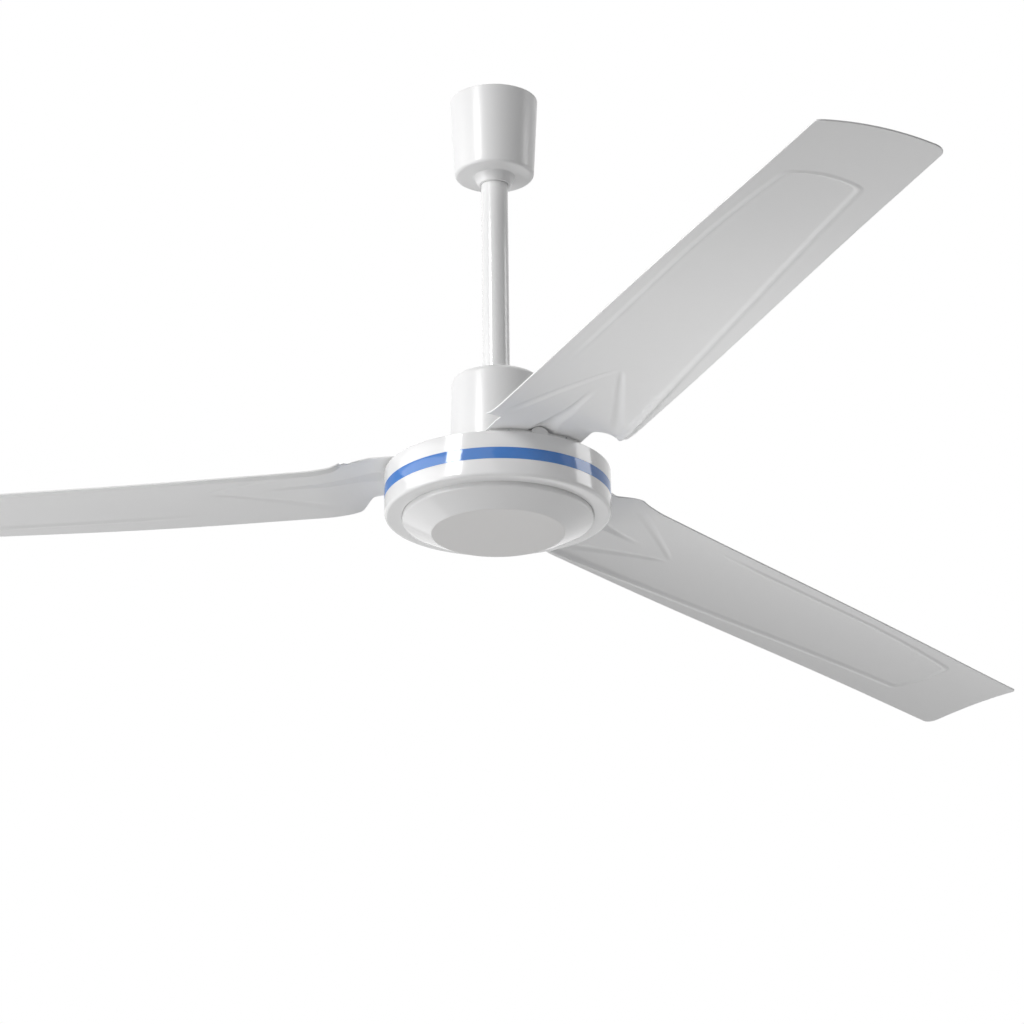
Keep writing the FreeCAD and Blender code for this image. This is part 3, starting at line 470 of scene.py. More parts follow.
def corner_cut(graph, reach, corner):
    """How far a rounded corner draws the edge in, at this distance from the end."""
    inside = graph.largest(corner - reach, 0)
    return corner - graph.root(graph.largest(corner * corner - inside * inside, 0))


SHAPED_R = 130.0 * MM       # from here on the sheet has its full twist and crown
SAG_GROWS = (96.0 * MM, 150.0 * MM)
SAG_FADES = (220.0 * MM, 600.0 * MM)


def sheet_under(graph, radius, across, size):
    """Height of the sheet's underside: flat tab, then twist, crown and droop."""
    along = graph.ranged(radius, size["Root Radius"], size["Tip Radius"])
    slope = size["Root Slope"] + (size["Tip Slope"] - size["Root Slope"]) * along
    crown = size["Root Camber"] + (size["Tip Camber"] - size["Root Camber"]) * along
    chord = size["Root Half Chord"] + (size["Tip Half Chord"] - size["Root Half Chord"]) * along
    off = across / chord
    shaped = graph.eased(radius, size["Flat Radius"], SHAPED_R)
    fall = graph.ranged(radius, size["Flat Radius"], size["Tip Radius"]) * size["Droop"]
    sag = graph.eased(radius, *SAG_GROWS) * graph.eased(radius, *reversed(SAG_FADES))
    fall = fall + sag * size["Root Sag"]
    return size["Under Height"] - fall - shaped * (across * slope + crown * off * off)


def bell(graph, distance, reach):
    """1 on a line, 0 from reach on, with a round top."""
    off = graph.smallest(abs(distance) / reach, 1)
    return (1 - off * off) * (1 - off * off)


BEAD_REACH = 3.4 * MM
FIELD_LEAD = 41.0 * MM              # the leading border from the middle line
FIELD_LEAD_BEND = 430.0 * MM        # from this radius it bends in
FIELD_LEAD_BOW = 10.0 * MM / (180.0 * MM) ** 2
FIELD_TRAIL = 51.0 * MM             # the trailing border from the middle line, at FIELD_TRAIL_R
FIELD_TRAIL_R = 163.0 * MM
FIELD_TRAIL_TAPER = 25.0 / 451.0
FIELD_TIP = 617.0 * MM
FIELD_TIP_BOW = 6.5                 # per metre
FIELD_CORNER = 9.0 * MM
FIELD_MIDDLE = 10.0 * MM            # half of the strip where one border's start gives way to the other's
LEAD_BEAD_STARTS = (240.0 * MM, 320.0 * MM)
TRAIL_BEAD_STARTS = (114.0 * MM, 124.0 * MM)
ROOT_BEAD_ENDS = (150.0 * MM, 300.0 * MM)


def panel_form(graph, radius, across, size):
    """The bead pressed down around the long field of the blade, deeper beside the root."""
    outer = graph.largest(radius - FIELD_LEAD_BEND, 0)
    lead = across + FIELD_LEAD - outer * outer * FIELD_LEAD_BOW
    trail = FIELD_TRAIL - (radius - FIELD_TRAIL_R) * FIELD_TRAIL_TAPER - across
    tip = FIELD_TIP - across * across * FIELD_TIP_BOW - radius
    inside = graph.blended_smallest(graph.smallest(lead, trail), tip, FIELD_CORNER)
    trailing = graph.eased(across, -FIELD_MIDDLE, FIELD_MIDDLE)
    lead_shown = graph.eased(radius, *LEAD_BEAD_STARTS)
    trail_shown = graph.eased(radius, *TRAIL_BEAD_STARTS)
    shown = lead_shown + (trail_shown - lead_shown) * trailing
    deeper = graph.eased(radius, *reversed(ROOT_BEAD_ENDS)) * size["Root Bead"]
    return bell(graph, inside, BEAD_REACH) * shown * (size["Bead Drop"] + deeper)


VEE_APEX = Vector((243.0 * MM, 4.0 * MM))
VEE_APEX_REACH = 2.8 * MM
VEE_SPREAD = 4.0 * MM
VEE_APEX_FADE = 22.0 * MM
VEE_FOOT_FADE = 18.0 * MM

# The feet of the two ribs, and each rib's share of the rise
VEE_FEET = ((Vector((128.0 * MM, 49.0 * MM)), 1.0), (Vector((131.0 * MM, -46.0 * MM)), 0.7))


def vee_form(graph, radius, across, size):
    """Two ribs from one point on the blade to the corners of its root."""
    ribs = []
    for foot, share in VEE_FEET:
        run = foot - VEE_APEX
        line = run.normalized()
        out_r = radius - VEE_APEX.x
        out_v = across - VEE_APEX.y
        along = out_r * line.x + out_v * line.y
        aside = out_r * line.y - out_v * line.x
        reach = graph.ranged(along, 0, run.length) * VEE_SPREAD + VEE_APEX_REACH
        starts = graph.eased(along, 0, VEE_APEX_FADE)
        ends = graph.eased(along, run.length, run.length - VEE_FOOT_FADE)
        ribs.append(starts * ends * bell(graph, aside, reach) * share)
    return graph.largest(*ribs) * size["Vee Rise"]


SPINE_ASIDE = 1.5 * MM
SPINE_REACH = 12.0 * MM
SPINE_FADES = (124.0 * MM, 200.0 * MM)

# From one radius to the next, the spine's reach shrinks by the third number
SPINE_SHRINKS = ((94.0 * MM, 114.0 * MM, 4.5 * MM), (114.0 * MM, 160.0 * MM, 3.7 * MM))


def spine_form(graph, radius, across, size):
    """The round arch along the middle of the tab, dying out along the blade."""
    reach = SPINE_REACH
    for begin, end, less in SPINE_SHRINKS:
        reach = reach - graph.ranged(radius, begin, end) * less
    rise = graph.eased(radius, *reversed(SPINE_FADES))
    return rise * bell(graph, across - SPINE_ASIDE, reach) * size["Spine Rise"]


TAB_ROUND_SHARE = 0.2       # of the tab's half width
LEAD_ROUND = 5.0 * MM
TRAIL_ROUND = 9.0 * MM
TIP_LEAN = 0.05155          # the tip leans out to the trailing side
TIP_BOW = 1.265             # and bows, per metre
TIP_BACK = 0.524 * MM


def blade_tree():
    """One blade: a sheet of rows and columns, trimmed to its outline and pressed."""
    sizes = {**BLADE_SIZES, "Angle": 0.0}
    graph, given, size = sized_tree("pressed_blade", sizes, "Paint", "Blade")
    share, side = lattice_shares(graph)
    side = side * 2
    trailing = graph.math("GREATER_THAN", side, 0)
    radius = lattice_radius(graph, share, size)
    to_tip = size["Tip Radius"] - radius
    half = half_width(graph, radius, trailing, size)
    half = half - corner_cut(graph, radius - size["Tab Radius"], size["Tab Half Width"] * TAB_ROUND_SHARE)
    half = half - corner_cut(graph, to_tip, trailing * (TRAIL_ROUND - LEAD_ROUND) + LEAD_ROUND)
    across = side * half
    swept = across * TIP_LEAN - across * across * TIP_BOW - TIP_BACK
    radius = radius + swept * graph.ranged(to_tip, TIP_ZONE, 0)
    height = sheet_under(graph, radius, across, size) - panel_form(graph, radius, across, size)
    height = height + graph.largest(vee_form(graph, radius, across, size),
                                    spine_form(graph, radius, across, size))
    x, y = turned_place(graph, radius, across, size["Angle"])
    sheet = formed_lattice(graph, ROWS + 1, COLUMNS, graph.together(x, y, height))
    return finished_tree(graph, sheet, graph.read(given, "Paint"))


# Fasteners

PAN_HEAD_HEIGHT = 0.55      # of the thread's diameter


def pan_head_sizes(diameter, seat, foot):
    """A screw of this thread diameter, from its seat down to its foot."""
    return {
        "Head Radius": 0.9 * diameter, "Head Height": PAN_HEAD_HEIGHT * diameter,
        "Shank Radius": diameter / 2, "Shank Length": seat - foot, "Seat Height": seat,
        "Recess Reach": 0.45 * diameter, "Recess Half Width": 0.1 * diameter, "Recess Depth": 0.27 * diameter}


SCREW_D = 5.0 * MM
SCREW_COUNT = 12
TAB_ROWS = {
    "Inner Row": 65.0 * MM, "Outer Row": 82.0 * MM, "Row Offset": 24.0 * MM, "First Angle": math.radians(60),
}
SCREW_SIZES = {**pan_head_sizes(SCREW_D, top_of("blade_washers"), foot_of("blade_screws")), **TAB_ROWS}
WASHER_SIZES = {
    "Outer Radius": 1.1 * SCREW_D, "Hole Radius": SCREW_D / 2 + 0.2 * MM, "Edge": 0.15 * MM,
    "Thickness": top_of("blade_washers") - foot_of("blade_washers"), "Seat Height": foot_of("blade_washers"),
    **TAB_ROWS,
}
BOLT_D = 4.0 * MM
BOLT_COUNT = 6
BOLT_SEAT = top_of("housing_bolts") - PAN_HEAD_HEIGHT * BOLT_D
BOLT_SIZES = {
    **pan_head_sizes(BOLT_D, BOLT_SEAT, foot_of("housing_bolts")),
    "Circle Radius": 82.0 * MM, "Spread": math.radians(14), "First Angle": math.radians(120),
}

# Rows from the middle of a head to its seat and on to the shank's end: shares of radius and height
HEAD_ROWS = tuple((step / 20, 1.0) for step in range(16)) + (
    (0.83, 0.985), (0.9, 0.94), (0.955, 0.87), (0.988, 0.78), (1.0, 0.66), (1.0, 0.06), (0.985, 0.0))
SHANK_ROWS = ((1, 0), (1, 0.95), (0.86, 1), (0, 1))


def through(graph, share, values):
    """Runs straight from value to value as the share goes from 0 to 1."""
    steps = len(values) - 1
    total = values[0]
    for index in range(steps):
        rise = values[index + 1] - values[index]
        if rise:
            total = graph.ranged(share, index / steps, (index + 1) / steps) * rise + total
    return total


def pan_head_section(graph, share, size):
    """A domed head from its middle to its seat, then the shank down to its end."""
    head_r, head_z = zip(*HEAD_ROWS, *[(0, 0)] * len(SHANK_ROWS))
    shank_r, shank_z = zip(*[(0, 0)] * len(HEAD_ROWS), *SHANK_ROWS)
    radius = through(graph, share, head_r) * size["Head Radius"]
    radius = through(graph, share, shank_r) * size["Shank Radius"] + radius
    height = through(graph, share, head_z) * size["Head Height"]
    return radius, height - through(graph, share, shank_z) * size["Shank Length"], len(head_r)


RECESS_OUTSIDE = 0.13 * MM  # the recess's wall leans from here, outside its edge,
RECESS_INSIDE = 0.07 * MM   # to here, inside it
HEAD_TOP_SHARE = 0.9        # only what is higher on the head is recessed


def cross_recess(graph, x, y, height, size):
    """Depth of the cross at a place on the head."""
    def inside(value, limit):
        return graph.ranged(value, limit + RECESS_OUTSIDE, limit - RECESS_INSIDE)

    reach, half = size["Recess Reach"], size["Recess Half Width"]
    bars = graph.largest(inside(abs(x), half) * inside(abs(y), reach),
                         inside(abs(y), half) * inside(abs(x), reach))
    on_top = graph.math("GREATER_THAN", height, size["Head Height"] * HEAD_TOP_SHARE)
    return bars * on_top * size["Recess Depth"]


def washer_section(graph, share, size):
    """A flat ring with its edges just broken."""
    outer = (0, 0, 1, 1, 1, 1, 0)
    edge = (0, 0, -1, 0, 0, -1, 0)
    rise = (0, 1, 1, 1, 0, 0, 0)
    step = (0, 0, 0, -1, 1, 0, 0)
    width = size["Outer Radius"] - size["Hole Radius"]
    radius = size["Hole Radius"] + through(graph, share, outer) * width
    radius = radius + through(graph, share, edge) * size["Edge"]
    height = through(graph, share, rise) * size["Thickness"] + through(graph, share, step) * size["Edge"]
    return radius, height, len(outer)


BLADE_TURN = 2 * math.pi / len(BLADE_ANGLES)


def to_and_fro(graph, index):
    """-1 and 1 in turn."""
    return graph.math("MODULO", index, 2) * 2 - 1


def tab_places(graph, index, size):
    """Two rows of two on each of the three blades."""
    blade = graph.math("FLOOR", index / 4)
    row = graph.math("FLOOR", graph.math("MODULO", index, 4) / 2)
    turn = blade * BLADE_TURN + size["First Angle"]
    reach = row * (size["Outer Row"] - size["Inner Row"]) + size["Inner Row"]
    return turned_place(graph, reach, to_and_fro(graph, index) * size["Row Offset"], turn)


def rim_places(graph, index, size):
    """A pair between each blade and the next."""
    turn = graph.math("FLOOR", index / 2) * BLADE_TURN + size["First Angle"]
    return turned_place(graph, size["Circle Radius"], 0, turn + to_and_fro(graph, index) * size["Spread"])


FASTENER_COLUMNS = 72
FASTENER_SEAM = 0.002 * MM
TWIST_SEED = 11


def fastener_tree(name, sizes, count, section, places, recess=None):
    """One turned fastener set at each of its places, each with its own small turn."""
    graph, given, size = sized_tree(name, sizes, "Plating", "Fasteners")
    share, turn = lattice_shares(graph)
    radius, height, rows = section(graph, share, size)
    x, y = turned_place(graph, radius, 0, turn * (2 * math.pi))
    if recess:
        height = height - recess(graph, x, y, height, size)
    formed = formed_lattice(graph, rows, FASTENER_COLUMNS + 1, graph.together(x, y, height))
    closed = graph.node("GeometryNodeMergeByDistance", None,
                        {"Geometry": graph.read(formed), "Distance": FASTENER_SEAM})
    x, y = places(graph, graph.read(graph.node("GeometryNodeInputIndex")), size)
    seat = graph.together(x, y, size["Seat Height"])
    points = graph.node("GeometryNodePoints", None, {"Count": count, "Position": seat})
    chance = graph.node("FunctionNodeRandomValue", {"data_type": "FLOAT"},
                        {2: 0.0, 3: math.pi, "Seed": TWIST_SEED})
    twist = graph.node("FunctionNodeEulerToRotation", None, {0: graph.together(0, 0, graph.read(chance, 1))})
    copies = graph.node("GeometryNodeInstanceOnPoints", None,
                        {"Points": graph.read(points), "Instance": graph.read(closed),
                         "Rotation": graph.read(twist)})
    return finished_tree(graph, copies, graph.read(given, "Plating"))


# Motor lead

LEAD_R = 1.5 * MM
LEAD_BEND = 5.0 * MM


def lead_mesh(name):
    """The lead from a coil up the shaft's bore to the terminal block, round a spline."""
    low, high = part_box("motor_lead")
    lower, upper = low.z + LEAD_R, high.z - LEAD_R
    inner = LEAD_BEND * (1 - math.sqrt(0.5))
    route = [(high.x, lower), (LEAD_BEND, lower), (inner, lower + inner), (0, lower + LEAD_BEND),
             (0, upper - LEAD_BEND), (-inner, upper - inner), (-LEAD_BEND, upper), (low.x, upper)]
    curve = bpy.data.curves.new(name, "CURVE")
    curve.dimensions = "3D"
    curve.bevel_depth = LEAD_R
    curve.bevel_resolution = 6
    curve.use_fill_caps = True
    spline = curve.splines.new("NURBS")
    spline.points.add(len(route) - 1)
    for point, (x, z) in zip(spline.points, route):
        point.co = (x, 0, z, 1)
    spline.order_u = 3
    spline.use_endpoint_u = True
    spline.resolution_u = 10
    mesh = plain_mesh(bpy.data.objects.new(name, curve), name)
    bpy.data.curves.remove(curve)
    return mesh


# Finishes

def tint(red, green, blue):
    return (red, green, blue, 1.0)


def empty_graph(owner):
    """The cleared node tree of a material or a world."""
    owner.use_nodes = True
    owner.node_tree.nodes.clear()
    return Graph(owner.node_tree)


def own_place(graph):
    """Places on a piece, in its own coordinates."""
    return graph.read(graph.node("ShaderNodeTexCoord"), "Object")


def finish(name, recipe):
    """A material from a function that gives the shader's sockets."""
    material = bpy.data.materials.new(name)
    graph = empty_graph(material)
    shader = graph.node("ShaderNodeBsdfPrincipled", None, recipe(graph, own_place(graph)))
    graph.node("ShaderNodeOutputMaterial", None, {0: graph.read(shader)})
    return material


def white_enamel(graph, where):
    """Stoved enamel on the drum: faint orange peel and slightly uneven whiteness."""
    cloud = graph.noise(where, 22.0, 3.0)
    peel = graph.noise(where, 520.0, 1.0)
    return {"Base Color": graph.mixed(cloud, tint(0.86, 0.86, 0.865), tint(0.895, 0.893, 0.89)),
            "Roughness": cloud * 0.06 + 0.14, "Coat Weight": 0.6, "Coat Roughness": 0.06,
            "Normal": graph.bump(peel, 0.03 * MM, 0.35)}


def rod_enamel(graph, where):
    """The same white on the drawn tube, with fine lines along its length."""
    lines = graph.noise(graph.stretched(where, 1400.0, 1400.0, 18.0), 1.0, 2.0)
    return {"Base Color": graph.mixed(lines, tint(0.862, 0.862, 0.866), tint(0.89, 0.89, 0.888)),
            "Roughness": lines * 0.08 + 0.17, "Coat Weight": 0.5, "Coat Roughness": 0.08,
            "Normal": graph.bump(lines, 0.012 * MM, 0.4)}


def canopy_plastic(graph, where):
    """Glossy moulded plastic, a little milky, with flow clouds from the mould."""
    flow = graph.noise(where, 35.0, 4.0)
    skin = graph.noise(where, 900.0, 1.0)
    return {"Base Color": graph.mixed(flow, tint(0.865, 0.865, 0.87), tint(0.892, 0.89, 0.888)),
            "Roughness": flow * 0.07 + 0.29, "Coat Weight": 0.25, "Coat Roughness": 0.22,
            "Normal": graph.bump(skin, 0.02 * MM, 0.3)}


SATIN_AND_PAINTED_SHADE_FADES = (0.1 * MM, 0.35 * MM)     # above the disc


def cover_plastic(graph, where):
    """The bottom cover: polished on its slope and rim, semi-matt on its flat disc, whose darker, warmer grey
    is painted shade.
    """
    height = graph.apart(where)[2] - DISC_Z
    flat = graph.eased(height, *reversed(SATIN_AND_PAINTED_SHADE_FADES))
    grain = graph.noise(where, 2600.0, 2.0)
    flow = graph.noise(where, 30.0, 3.0)
    white = graph.mixed(flow, tint(0.865, 0.865, 0.868), tint(0.89, 0.888, 0.886))
    # The flat disc's darker, warmer grey is painted shade; only its lower gloss is the real finish.
    disc_painted_shade = graph.mixed(grain, tint(0.835, 0.825, 0.815), tint(0.87, 0.862, 0.855))
    return {"Base Color": graph.mixed(flat, white, disc_painted_shade), "Roughness": flat * 0.34 + 0.13,
            "Coat Weight": 0.6 - flat * 0.55, "Coat Roughness": 0.05,
            "Normal": graph.bump(grain, 0.02 * MM, 0.35)}


def stripe_blue(graph, where):
    """Glossy blue trim with a slight cloudiness under its gloss."""
    cloud = graph.noise(where, 90.0, 3.0)
    return {"Base Color": graph.mixed(cloud, tint(0.042, 0.2, 0.6), tint(0.056, 0.23, 0.665)),
            "Roughness": cloud * 0.05 + 0.12, "Specular IOR Level": 0.05, "Coat Weight": 0.36,
            "Coat IOR": 2.4, "Coat Roughness": 0.08,
            "Normal": graph.bump(graph.noise(where, 700.0, 1.0), 0.02 * MM, 0.3)}


def blade_paint(graph, where):
    """Powder coat on the pressed sheet: fine pebbling and soft, broad unevenness."""
    cloud = graph.noise(where, 9.0, 3.0)
    pebble = graph.noise(where, 1100.0, 2.0)
    return {"Base Color": graph.mixed(cloud, tint(0.872, 0.872, 0.875), tint(0.908, 0.907, 0.903)),
            "Roughness": cloud * 0.1 + 0.3 + pebble * 0.06, "Coat Weight": 0.12, "Coat Roughness": 0.2,
            "Normal": graph.bump(pebble, 0.03 * MM, 0.35)}


def zinc_steel(graph, where):
    """Zinc-plated sheet and fasteners, with the small patches of the plating."""
    cell = graph.read(graph.node("ShaderNodeTexVoronoi", None, {"Vector": where, "Scale": 260.0}), 1)
    patch = graph.read(graph.node("ShaderNodeSeparateColor", None, {0: cell}))
    brush = graph.noise(where, 1500.0, 2.0)
    return {"Base Color": graph.mixed(patch, tint(0.42, 0.43, 0.45), tint(0.57, 0.58, 0.59)), "Metallic": 1.0,
            "Roughness": patch * 0.12 + brush * 0.1 + 0.26, "Normal": graph.bump(brush, 0.01 * MM, 0.4)}


def bright_steel(graph, where):
    """Turned and ground steel, with rings left by the tool."""
    rings = graph.noise(graph.stretched(where, 60.0, 60.0, 4000.0), 1.0, 2.0)
    return {"Base Color": graph.mixed(rings, tint(0.6, 0.6, 0.6), tint(0.74, 0.74, 0.73)), "Metallic": 1.0,
            "Roughness": rings * 0.14 + 0.16, "Normal": graph.bump(rings, 0.006 * MM, 0.4)}


LAMINATION = 0.5 * MM


def core_steel(graph, where):
    """Stacked laminations: thin dark lines one sheet apart."""
    sheet = abs(graph.math("FRACT", graph.apart(where)[2] / LAMINATION) - 0.5) * 2
    seam = graph.eased(sheet, 0.8, 1.0)
    stain = graph.noise(where, 120.0, 3.0)
    steel = graph.mixed(stain, tint(0.25, 0.26, 0.29), tint(0.36, 0.36, 0.37))
    return {"Base Color": graph.mixed(seam, steel, tint(0.1, 0.1, 0.11)), "Metallic": 0.8,
            "Roughness": stain * 0.2 + 0.4, "Normal": graph.bump(1 - seam, 0.05 * MM, 0.6)}


def rotor_steel(graph, where):
    """Cast and skimmed rotor metal, dull grey and finely pitted."""
    pits = graph.noise(where, 700.0, 4.0)
    return {"Base Color": graph.mixed(pits, tint(0.3, 0.3, 0.31), tint(0.48, 0.48, 0.48)), "Metallic": 0.9,
            "Roughness": pits * 0.25 + 0.38, "Normal": graph.bump(pits, 0.05 * MM, 0.5)}


def winding_copper(graph, where):
    """Varnished copper wire: rows of strands half a millimetre apart, with painted shade in the dark bands
    between them.
    """
    strands = graph.read(graph.node("ShaderNodeTexWave", {"bands_direction": "Z"},
                                    {"Vector": where, "Scale": 950.0, "Distortion": 1.5, "Detail": 1.0}))
    # The darker half of each band is painted shade between the turns of wire; the bump is the real relief.
    return {"Base Color": graph.mixed(strands, tint(0.22, 0.055, 0.02), tint(0.62, 0.23, 0.09)),
            "Metallic": 0.7, "Roughness": 0.42 - strands * 0.16, "Coat Weight": 0.4,
            "Normal": graph.bump(strands, 0.15 * MM, 0.7)}


def black_rubber(graph, where):
    """Moulded rubber, matt and dusty grey in its grain."""
    grain = graph.noise(where, 1300.0, 3.0)
    dust = graph.noise(where, 60.0, 3.0)
    return {"Base Color": graph.mixed(dust, tint(0.018, 0.018, 0.019), tint(0.05, 0.049, 0.047)),
            "Roughness": grain * 0.2 + 0.6, "Normal": graph.bump(grain, 0.06 * MM, 0.5)}


def black_case(graph, where):
    """Spark-eroded black plastic of the capacitor."""
    grain = graph.noise(where, 1900.0, 2.0)
    return {"Base Color": graph.mixed(grain, tint(0.02, 0.02, 0.022), tint(0.045, 0.045, 0.048)),
            "Roughness": grain * 0.18 + 0.36, "Normal": graph.bump(grain, 0.04 * MM, 0.5)}


def ivory_case(graph, where):
    """Ivory plastic of the terminal block."""
    flow = graph.noise(where, 140.0, 3.0)
    return {"Base Color": graph.mixed(flow, tint(0.7, 0.66, 0.55), tint(0.78, 0.74, 0.64)),
            "Roughness": flow * 0.15 + 0.32, "Normal": graph.bump(graph.noise(where, 1500.0), 0.03 * MM, 0.4)}


def lead_sheath(graph, where):
    """Soft red sheath of the motor lead."""
    skin = graph.noise(where, 500.0, 3.0)
    return {"Base Color": graph.mixed(skin, tint(0.38, 0.02, 0.015), tint(0.52, 0.035, 0.025)),
            "Roughness": skin * 0.15 + 0.42, "Normal": graph.bump(skin, 0.03 * MM, 0.4)}


RECIPES = {
    "zinc_steel": zinc_steel, "bright_steel": bright_steel, "roller_rubber": black_rubber,
    "rod_paint": rod_enamel, "core_steel": core_steel, "rotor_steel": rotor_steel,
    "winding_copper": winding_copper, "lead_sheath": lead_sheath, "capacitor_case": black_case,
    "terminal_case": ivory_case, "drum_paint": white_enamel, "band_blue": stripe_blue,
    "cover_plastic": cover_plastic, "canopy_plastic": canopy_plastic, "blade_paint": blade_paint,
}
FINISHES = {slot: finish(slot, recipe) for slot, recipe in RECIPES.items()}


# The pieces in place

for subpart in frame["record"]["subparts"]:
    for held in frame["nodes"][subpart["node"]].material_slots:
        held.material = FINISHES[subpart["material_slot"]]


# Edges sharper than this many degrees stay crisp
SHELL_CREASE = 32
SHEET_CREASE = 50
FASTENER_CREASE = 40


def placed(name, mesh, body, slot, node, crease):
    """Puts a finished mesh in the scene as the piece that stands for this node."""
    mesh.shade_smooth()
    mesh.set_sharp_from_angle(angle=math.radians(crease))
    mesh.materials.clear()
    mesh.materials.append(FINISHES[slot])
    piece = bpy.data.objects.new(name, mesh)
    bpy.context.scene.collection.objects.link(piece)
    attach(piece, body)
    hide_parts(node)
    return piece


def place_turned(node, line, body, slot):
    name = node + "_shell"
    placed(name, turned_mesh(name, line), body, slot, node, SHELL_CREASE)


place_turned("upper_canopy", canopy_line(), "upper_canopy", "canopy_plastic")
place_turned("lower_canopy", cup_line(), "lower_canopy", "canopy_plastic")
place_turned("downrod", rod_line(), "downrod", "rod_paint")
place_turned("drum_pan", drum_line(), "rotor", "drum_paint")
place_turned("blue_band", band_line(), "rotor", "band_blue")
place_turned("bottom_cover", cover_line(), "rotor", "cover_plastic")

EDGE_BREAK = 0.35 * MM
EDGE_ANGLE = math.radians(60)


def place_blade(node, angle, tree):
    """A pressed sheet that grows its thickness upwards, with broken edges."""
    name = node + "_sheet"
    sheet = grown(name, tree, {**BLADE_SIZES, "Angle": angle, "Paint": FINISHES["blade_paint"]})
    piece = placed(name, sheet, "rotor", "blade_paint", node, SHEET_CREASE)
    wall = piece.modifiers.new("sheet", "SOLIDIFY")
    wall.thickness = BLADE_SHEET
    wall.offset = 1.0
    edge = piece.modifiers.new("edge", "BEVEL")
    edge.width = EDGE_BREAK
    edge.segments = 2
    edge.limit_method = "ANGLE"
    edge.angle_limit = EDGE_ANGLE


pressed_blade = blade_tree()
for blade, degrees in BLADE_ANGLES.items():
    place_blade(blade, math.radians(degrees), pressed_blade)


def place_fasteners(node, sizes, count, section, places, recess=None):
    name = node + "_set"
    tree = fastener_tree(name, sizes, count, section, places, recess)
    mesh = grown(name, tree, {**sizes, "Plating": FINISHES["zinc_steel"]})
    placed(name, mesh, "rotor", "zinc_steel", node, FASTENER_CREASE)


place_fasteners("blade_screws", SCREW_SIZES, SCREW_COUNT, pan_head_section, tab_places, cross_recess)
place_fasteners("blade_washers", WASHER_SIZES, SCREW_COUNT, washer_section, tab_places)
place_fasteners("housing_bolts", BOLT_SIZES, BOLT_COUNT, pan_head_section, rim_places, cross_recess)

placed("motor_lead_wire", lead_mesh("motor_lead_wire"), "downrod", "lead_sheath", "motor_lead", SHELL_CREASE)


# Camera

VIEW_TURN = math.radians(7.69)
VIEW_DISTANCE = 3.7756      # level, from the rod's axis
VIEW_DROP = 1.5071          # below the drum's top
VIEW_PITCH = 0.3721
VIEW_YAW = 0.003
VIEW_ROLL = -0.0116
FOCAL_SHARE = 5058.46 / 1024    # focal length in picture widths


def set_camera():
    """Looks up at the fan from the photograph's place."""
    lens = bpy.data.cameras.new("photo_camera")
    lens.sensor_width = 36.0
    lens.lens = FOCAL_SHARE * lens.sensor_width
    lens.clip_end = 60.0
    camera = bpy.data.objects.new("photo_camera", lens)
    bpy.context.scene.collection.objects.link(camera)
    forward = Vector((math.sin(VIEW_YAW) * math.cos(VIEW_PITCH), math.cos(VIEW_YAW) * math.cos(VIEW_PITCH),
                      math.sin(VIEW_PITCH)))
    level = Vector((math.cos(VIEW_YAW), -math.sin(VIEW_YAW), 0))
    upward = level.cross(forward)
    right = level * math.cos(VIEW_ROLL) + upward * math.sin(VIEW_ROLL)
    up = upward * math.cos(VIEW_ROLL) - level * math.sin(VIEW_ROLL)
    look = Matrix((right, up, -forward)).transposed().to_4x4()
    stand = Matrix.Translation((0, -VIEW_DISTANCE, DRUM_TOP - VIEW_DROP))
    camera.matrix_world = Matrix.Rotation(VIEW_TURN, 4, "Z") @ stand @ look
    bpy.context.scene.camera = camera


set_camera()


# Light

# Degrees to the right of the camera and above the drum's foot, distance from there, width and height in
# metres, and power in watts
SOFTBOXES = {
    "left_strip": (-44, 21, 3.0, 0.75, 1.0, 38),
    "left_high": (-82, 11, 3.0, 3.4, 1.5, 23),
    "left_wash": (-76, -18, 3.0, 1.5, 1.2, 18),
    "front_wash": (-20, 30, 3.0, 2.0, 1.5, 2),
    "left_key": (-66, -38, 2.4, 1.2, 1.6, 6.5),
    "left_back": (-138, -30, 2.6, 2.6, 1.6, 7),
    "front_low": (5, -40, 3.0, 2.0, 1.6, 1),
    "right_strip": (97, 21, 3.0, 1.1, 0.9, 10),
    "right_back": (122, -24, 2.6, 1.8, 1.3, 3.6),
    "overhead": (150, 78, 2.6, 2.4, 2.4, 15),
}
BLADE_GLOW = (23, -63, 0.72, 0.3, 0.3, 0.065)
BLADE_GLOW_AIM = 0.33
BLADE_GLOW_SPREAD = 50


def softbox(name, azimuth, elevation, distance, width, height, power, aim=0.0, spread=180):
    """A soft rectangle that faces the drum, or a place at the radius aim on its own side of the drum."""
    lamp = bpy.data.lights.new(name, "AREA")
    lamp.shape = "RECTANGLE"
    lamp.size = width
    lamp.size_y = height
    lamp.energy = power
    lamp.spread = math.radians(spread)
    holder = bpy.data.objects.new(name, lamp)
    bpy.context.scene.collection.objects.link(holder)
    turn = math.radians(azimuth - 90) + VIEW_TURN
    rise = math.radians(elevation)
    out = Vector((math.cos(turn) * math.cos(rise), math.sin(turn) * math.cos(rise), math.sin(rise)))
    holder.location = out * distance + Vector((0, 0, DRUM_FOOT))
    target = Vector((math.cos(turn) * aim, math.sin(turn) * aim, DRUM_FOOT))
    holder.rotation_euler = (holder.location - target).to_track_quat("Z", "Y").to_euler()


for lamp_name, setting in SOFTBOXES.items():
    softbox(lamp_name, *setting)
softbox("blade_glow", *BLADE_GLOW, aim=BLADE_GLOW_AIM, spread=BLADE_GLOW_SPREAD)

WHITE = tint(1, 1, 1)
AMBIENT = 0.13


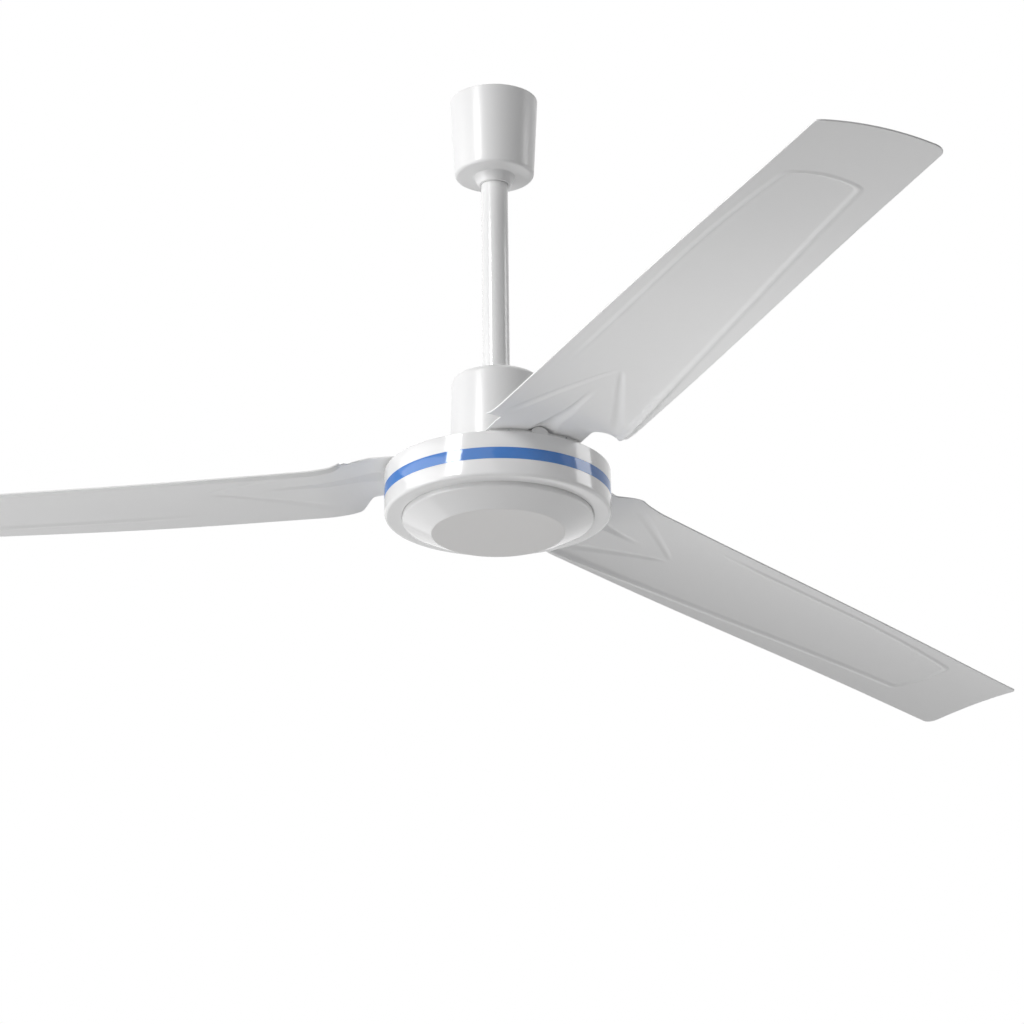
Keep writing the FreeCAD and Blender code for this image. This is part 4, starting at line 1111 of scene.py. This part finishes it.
def seen_share(graph):
    """1 for what is seen straight, in a reflection or through glass, and 0 for light on a surface."""
    path = graph.node("ShaderNodeLightPath")
    seen = graph.read(path, "Is Camera Ray") + graph.read(path, "Is Glossy Ray")
    return graph.smallest(seen + graph.read(path, "Is Transmission Ray"), 1)


def set_world():
    """White behind the object and in its reflections, and a lower, even light on its surfaces."""
    world = bpy.data.worlds.new("studio")
    graph = empty_graph(world)
    strength = seen_share(graph) * (1 - AMBIENT) + AMBIENT
    light = graph.node("ShaderNodeBackground", None, {"Color": WHITE, "Strength": strength})
    graph.node("ShaderNodeOutputWorld", None, {0: graph.read(light)})
    bpy.context.scene.world = world


FLOOR_Z = DRUM_TOP - 2.6
FLOOR_R = 4.4
FLOOR_STEPS = 96
FLOOR_FADES = (1.5, FLOOR_R)    # from the ceiling's middle, where the floor turns from half to fully white
FLOOR_WHITE = 0.5


def floor_finish():
    """Matt and pale, white in view and in reflections towards its rim."""
    material = bpy.data.materials.new("studio_floor")
    graph = empty_graph(material)
    where = own_place(graph)
    tone = graph.mixed(graph.noise(where, 3.0), tint(0.86, 0.86, 0.86), tint(0.9, 0.9, 0.9))
    matt = graph.node("ShaderNodeBsdfPrincipled", None, {"Base Color": tone, "Roughness": 0.8})
    white = graph.node("ShaderNodeEmission", None, {"Color": WHITE, "Strength": 1.0})
    out = graph.read(graph.node("ShaderNodeVectorMath", {"operation": "LENGTH"}, {0: where}), 1)
    share = graph.eased(out, *FLOOR_FADES) * (1 - FLOOR_WHITE) + FLOOR_WHITE
    shown = graph.node("ShaderNodeMixShader", None,
                       {0: share * seen_share(graph), 1: graph.read(matt), 2: graph.read(white)})
    graph.node("ShaderNodeOutputMaterial", None, {0: graph.read(shown)})
    return material


def set_floor():
    """A plain round floor, as far below the fan as in a room."""
    plate = bpy.data.meshes.new("floor")
    plate.from_pydata(circle(FLOOR_R, FLOOR_Z, FLOOR_STEPS), [], [range(FLOOR_STEPS)])
    plate.materials.append(floor_finish())
    floor = bpy.data.objects.new("floor", plate)
    bpy.context.scene.collection.objects.link(floor)


set_world()
set_floor()
bpy.context.scene.view_settings.view_transform = "Standard"
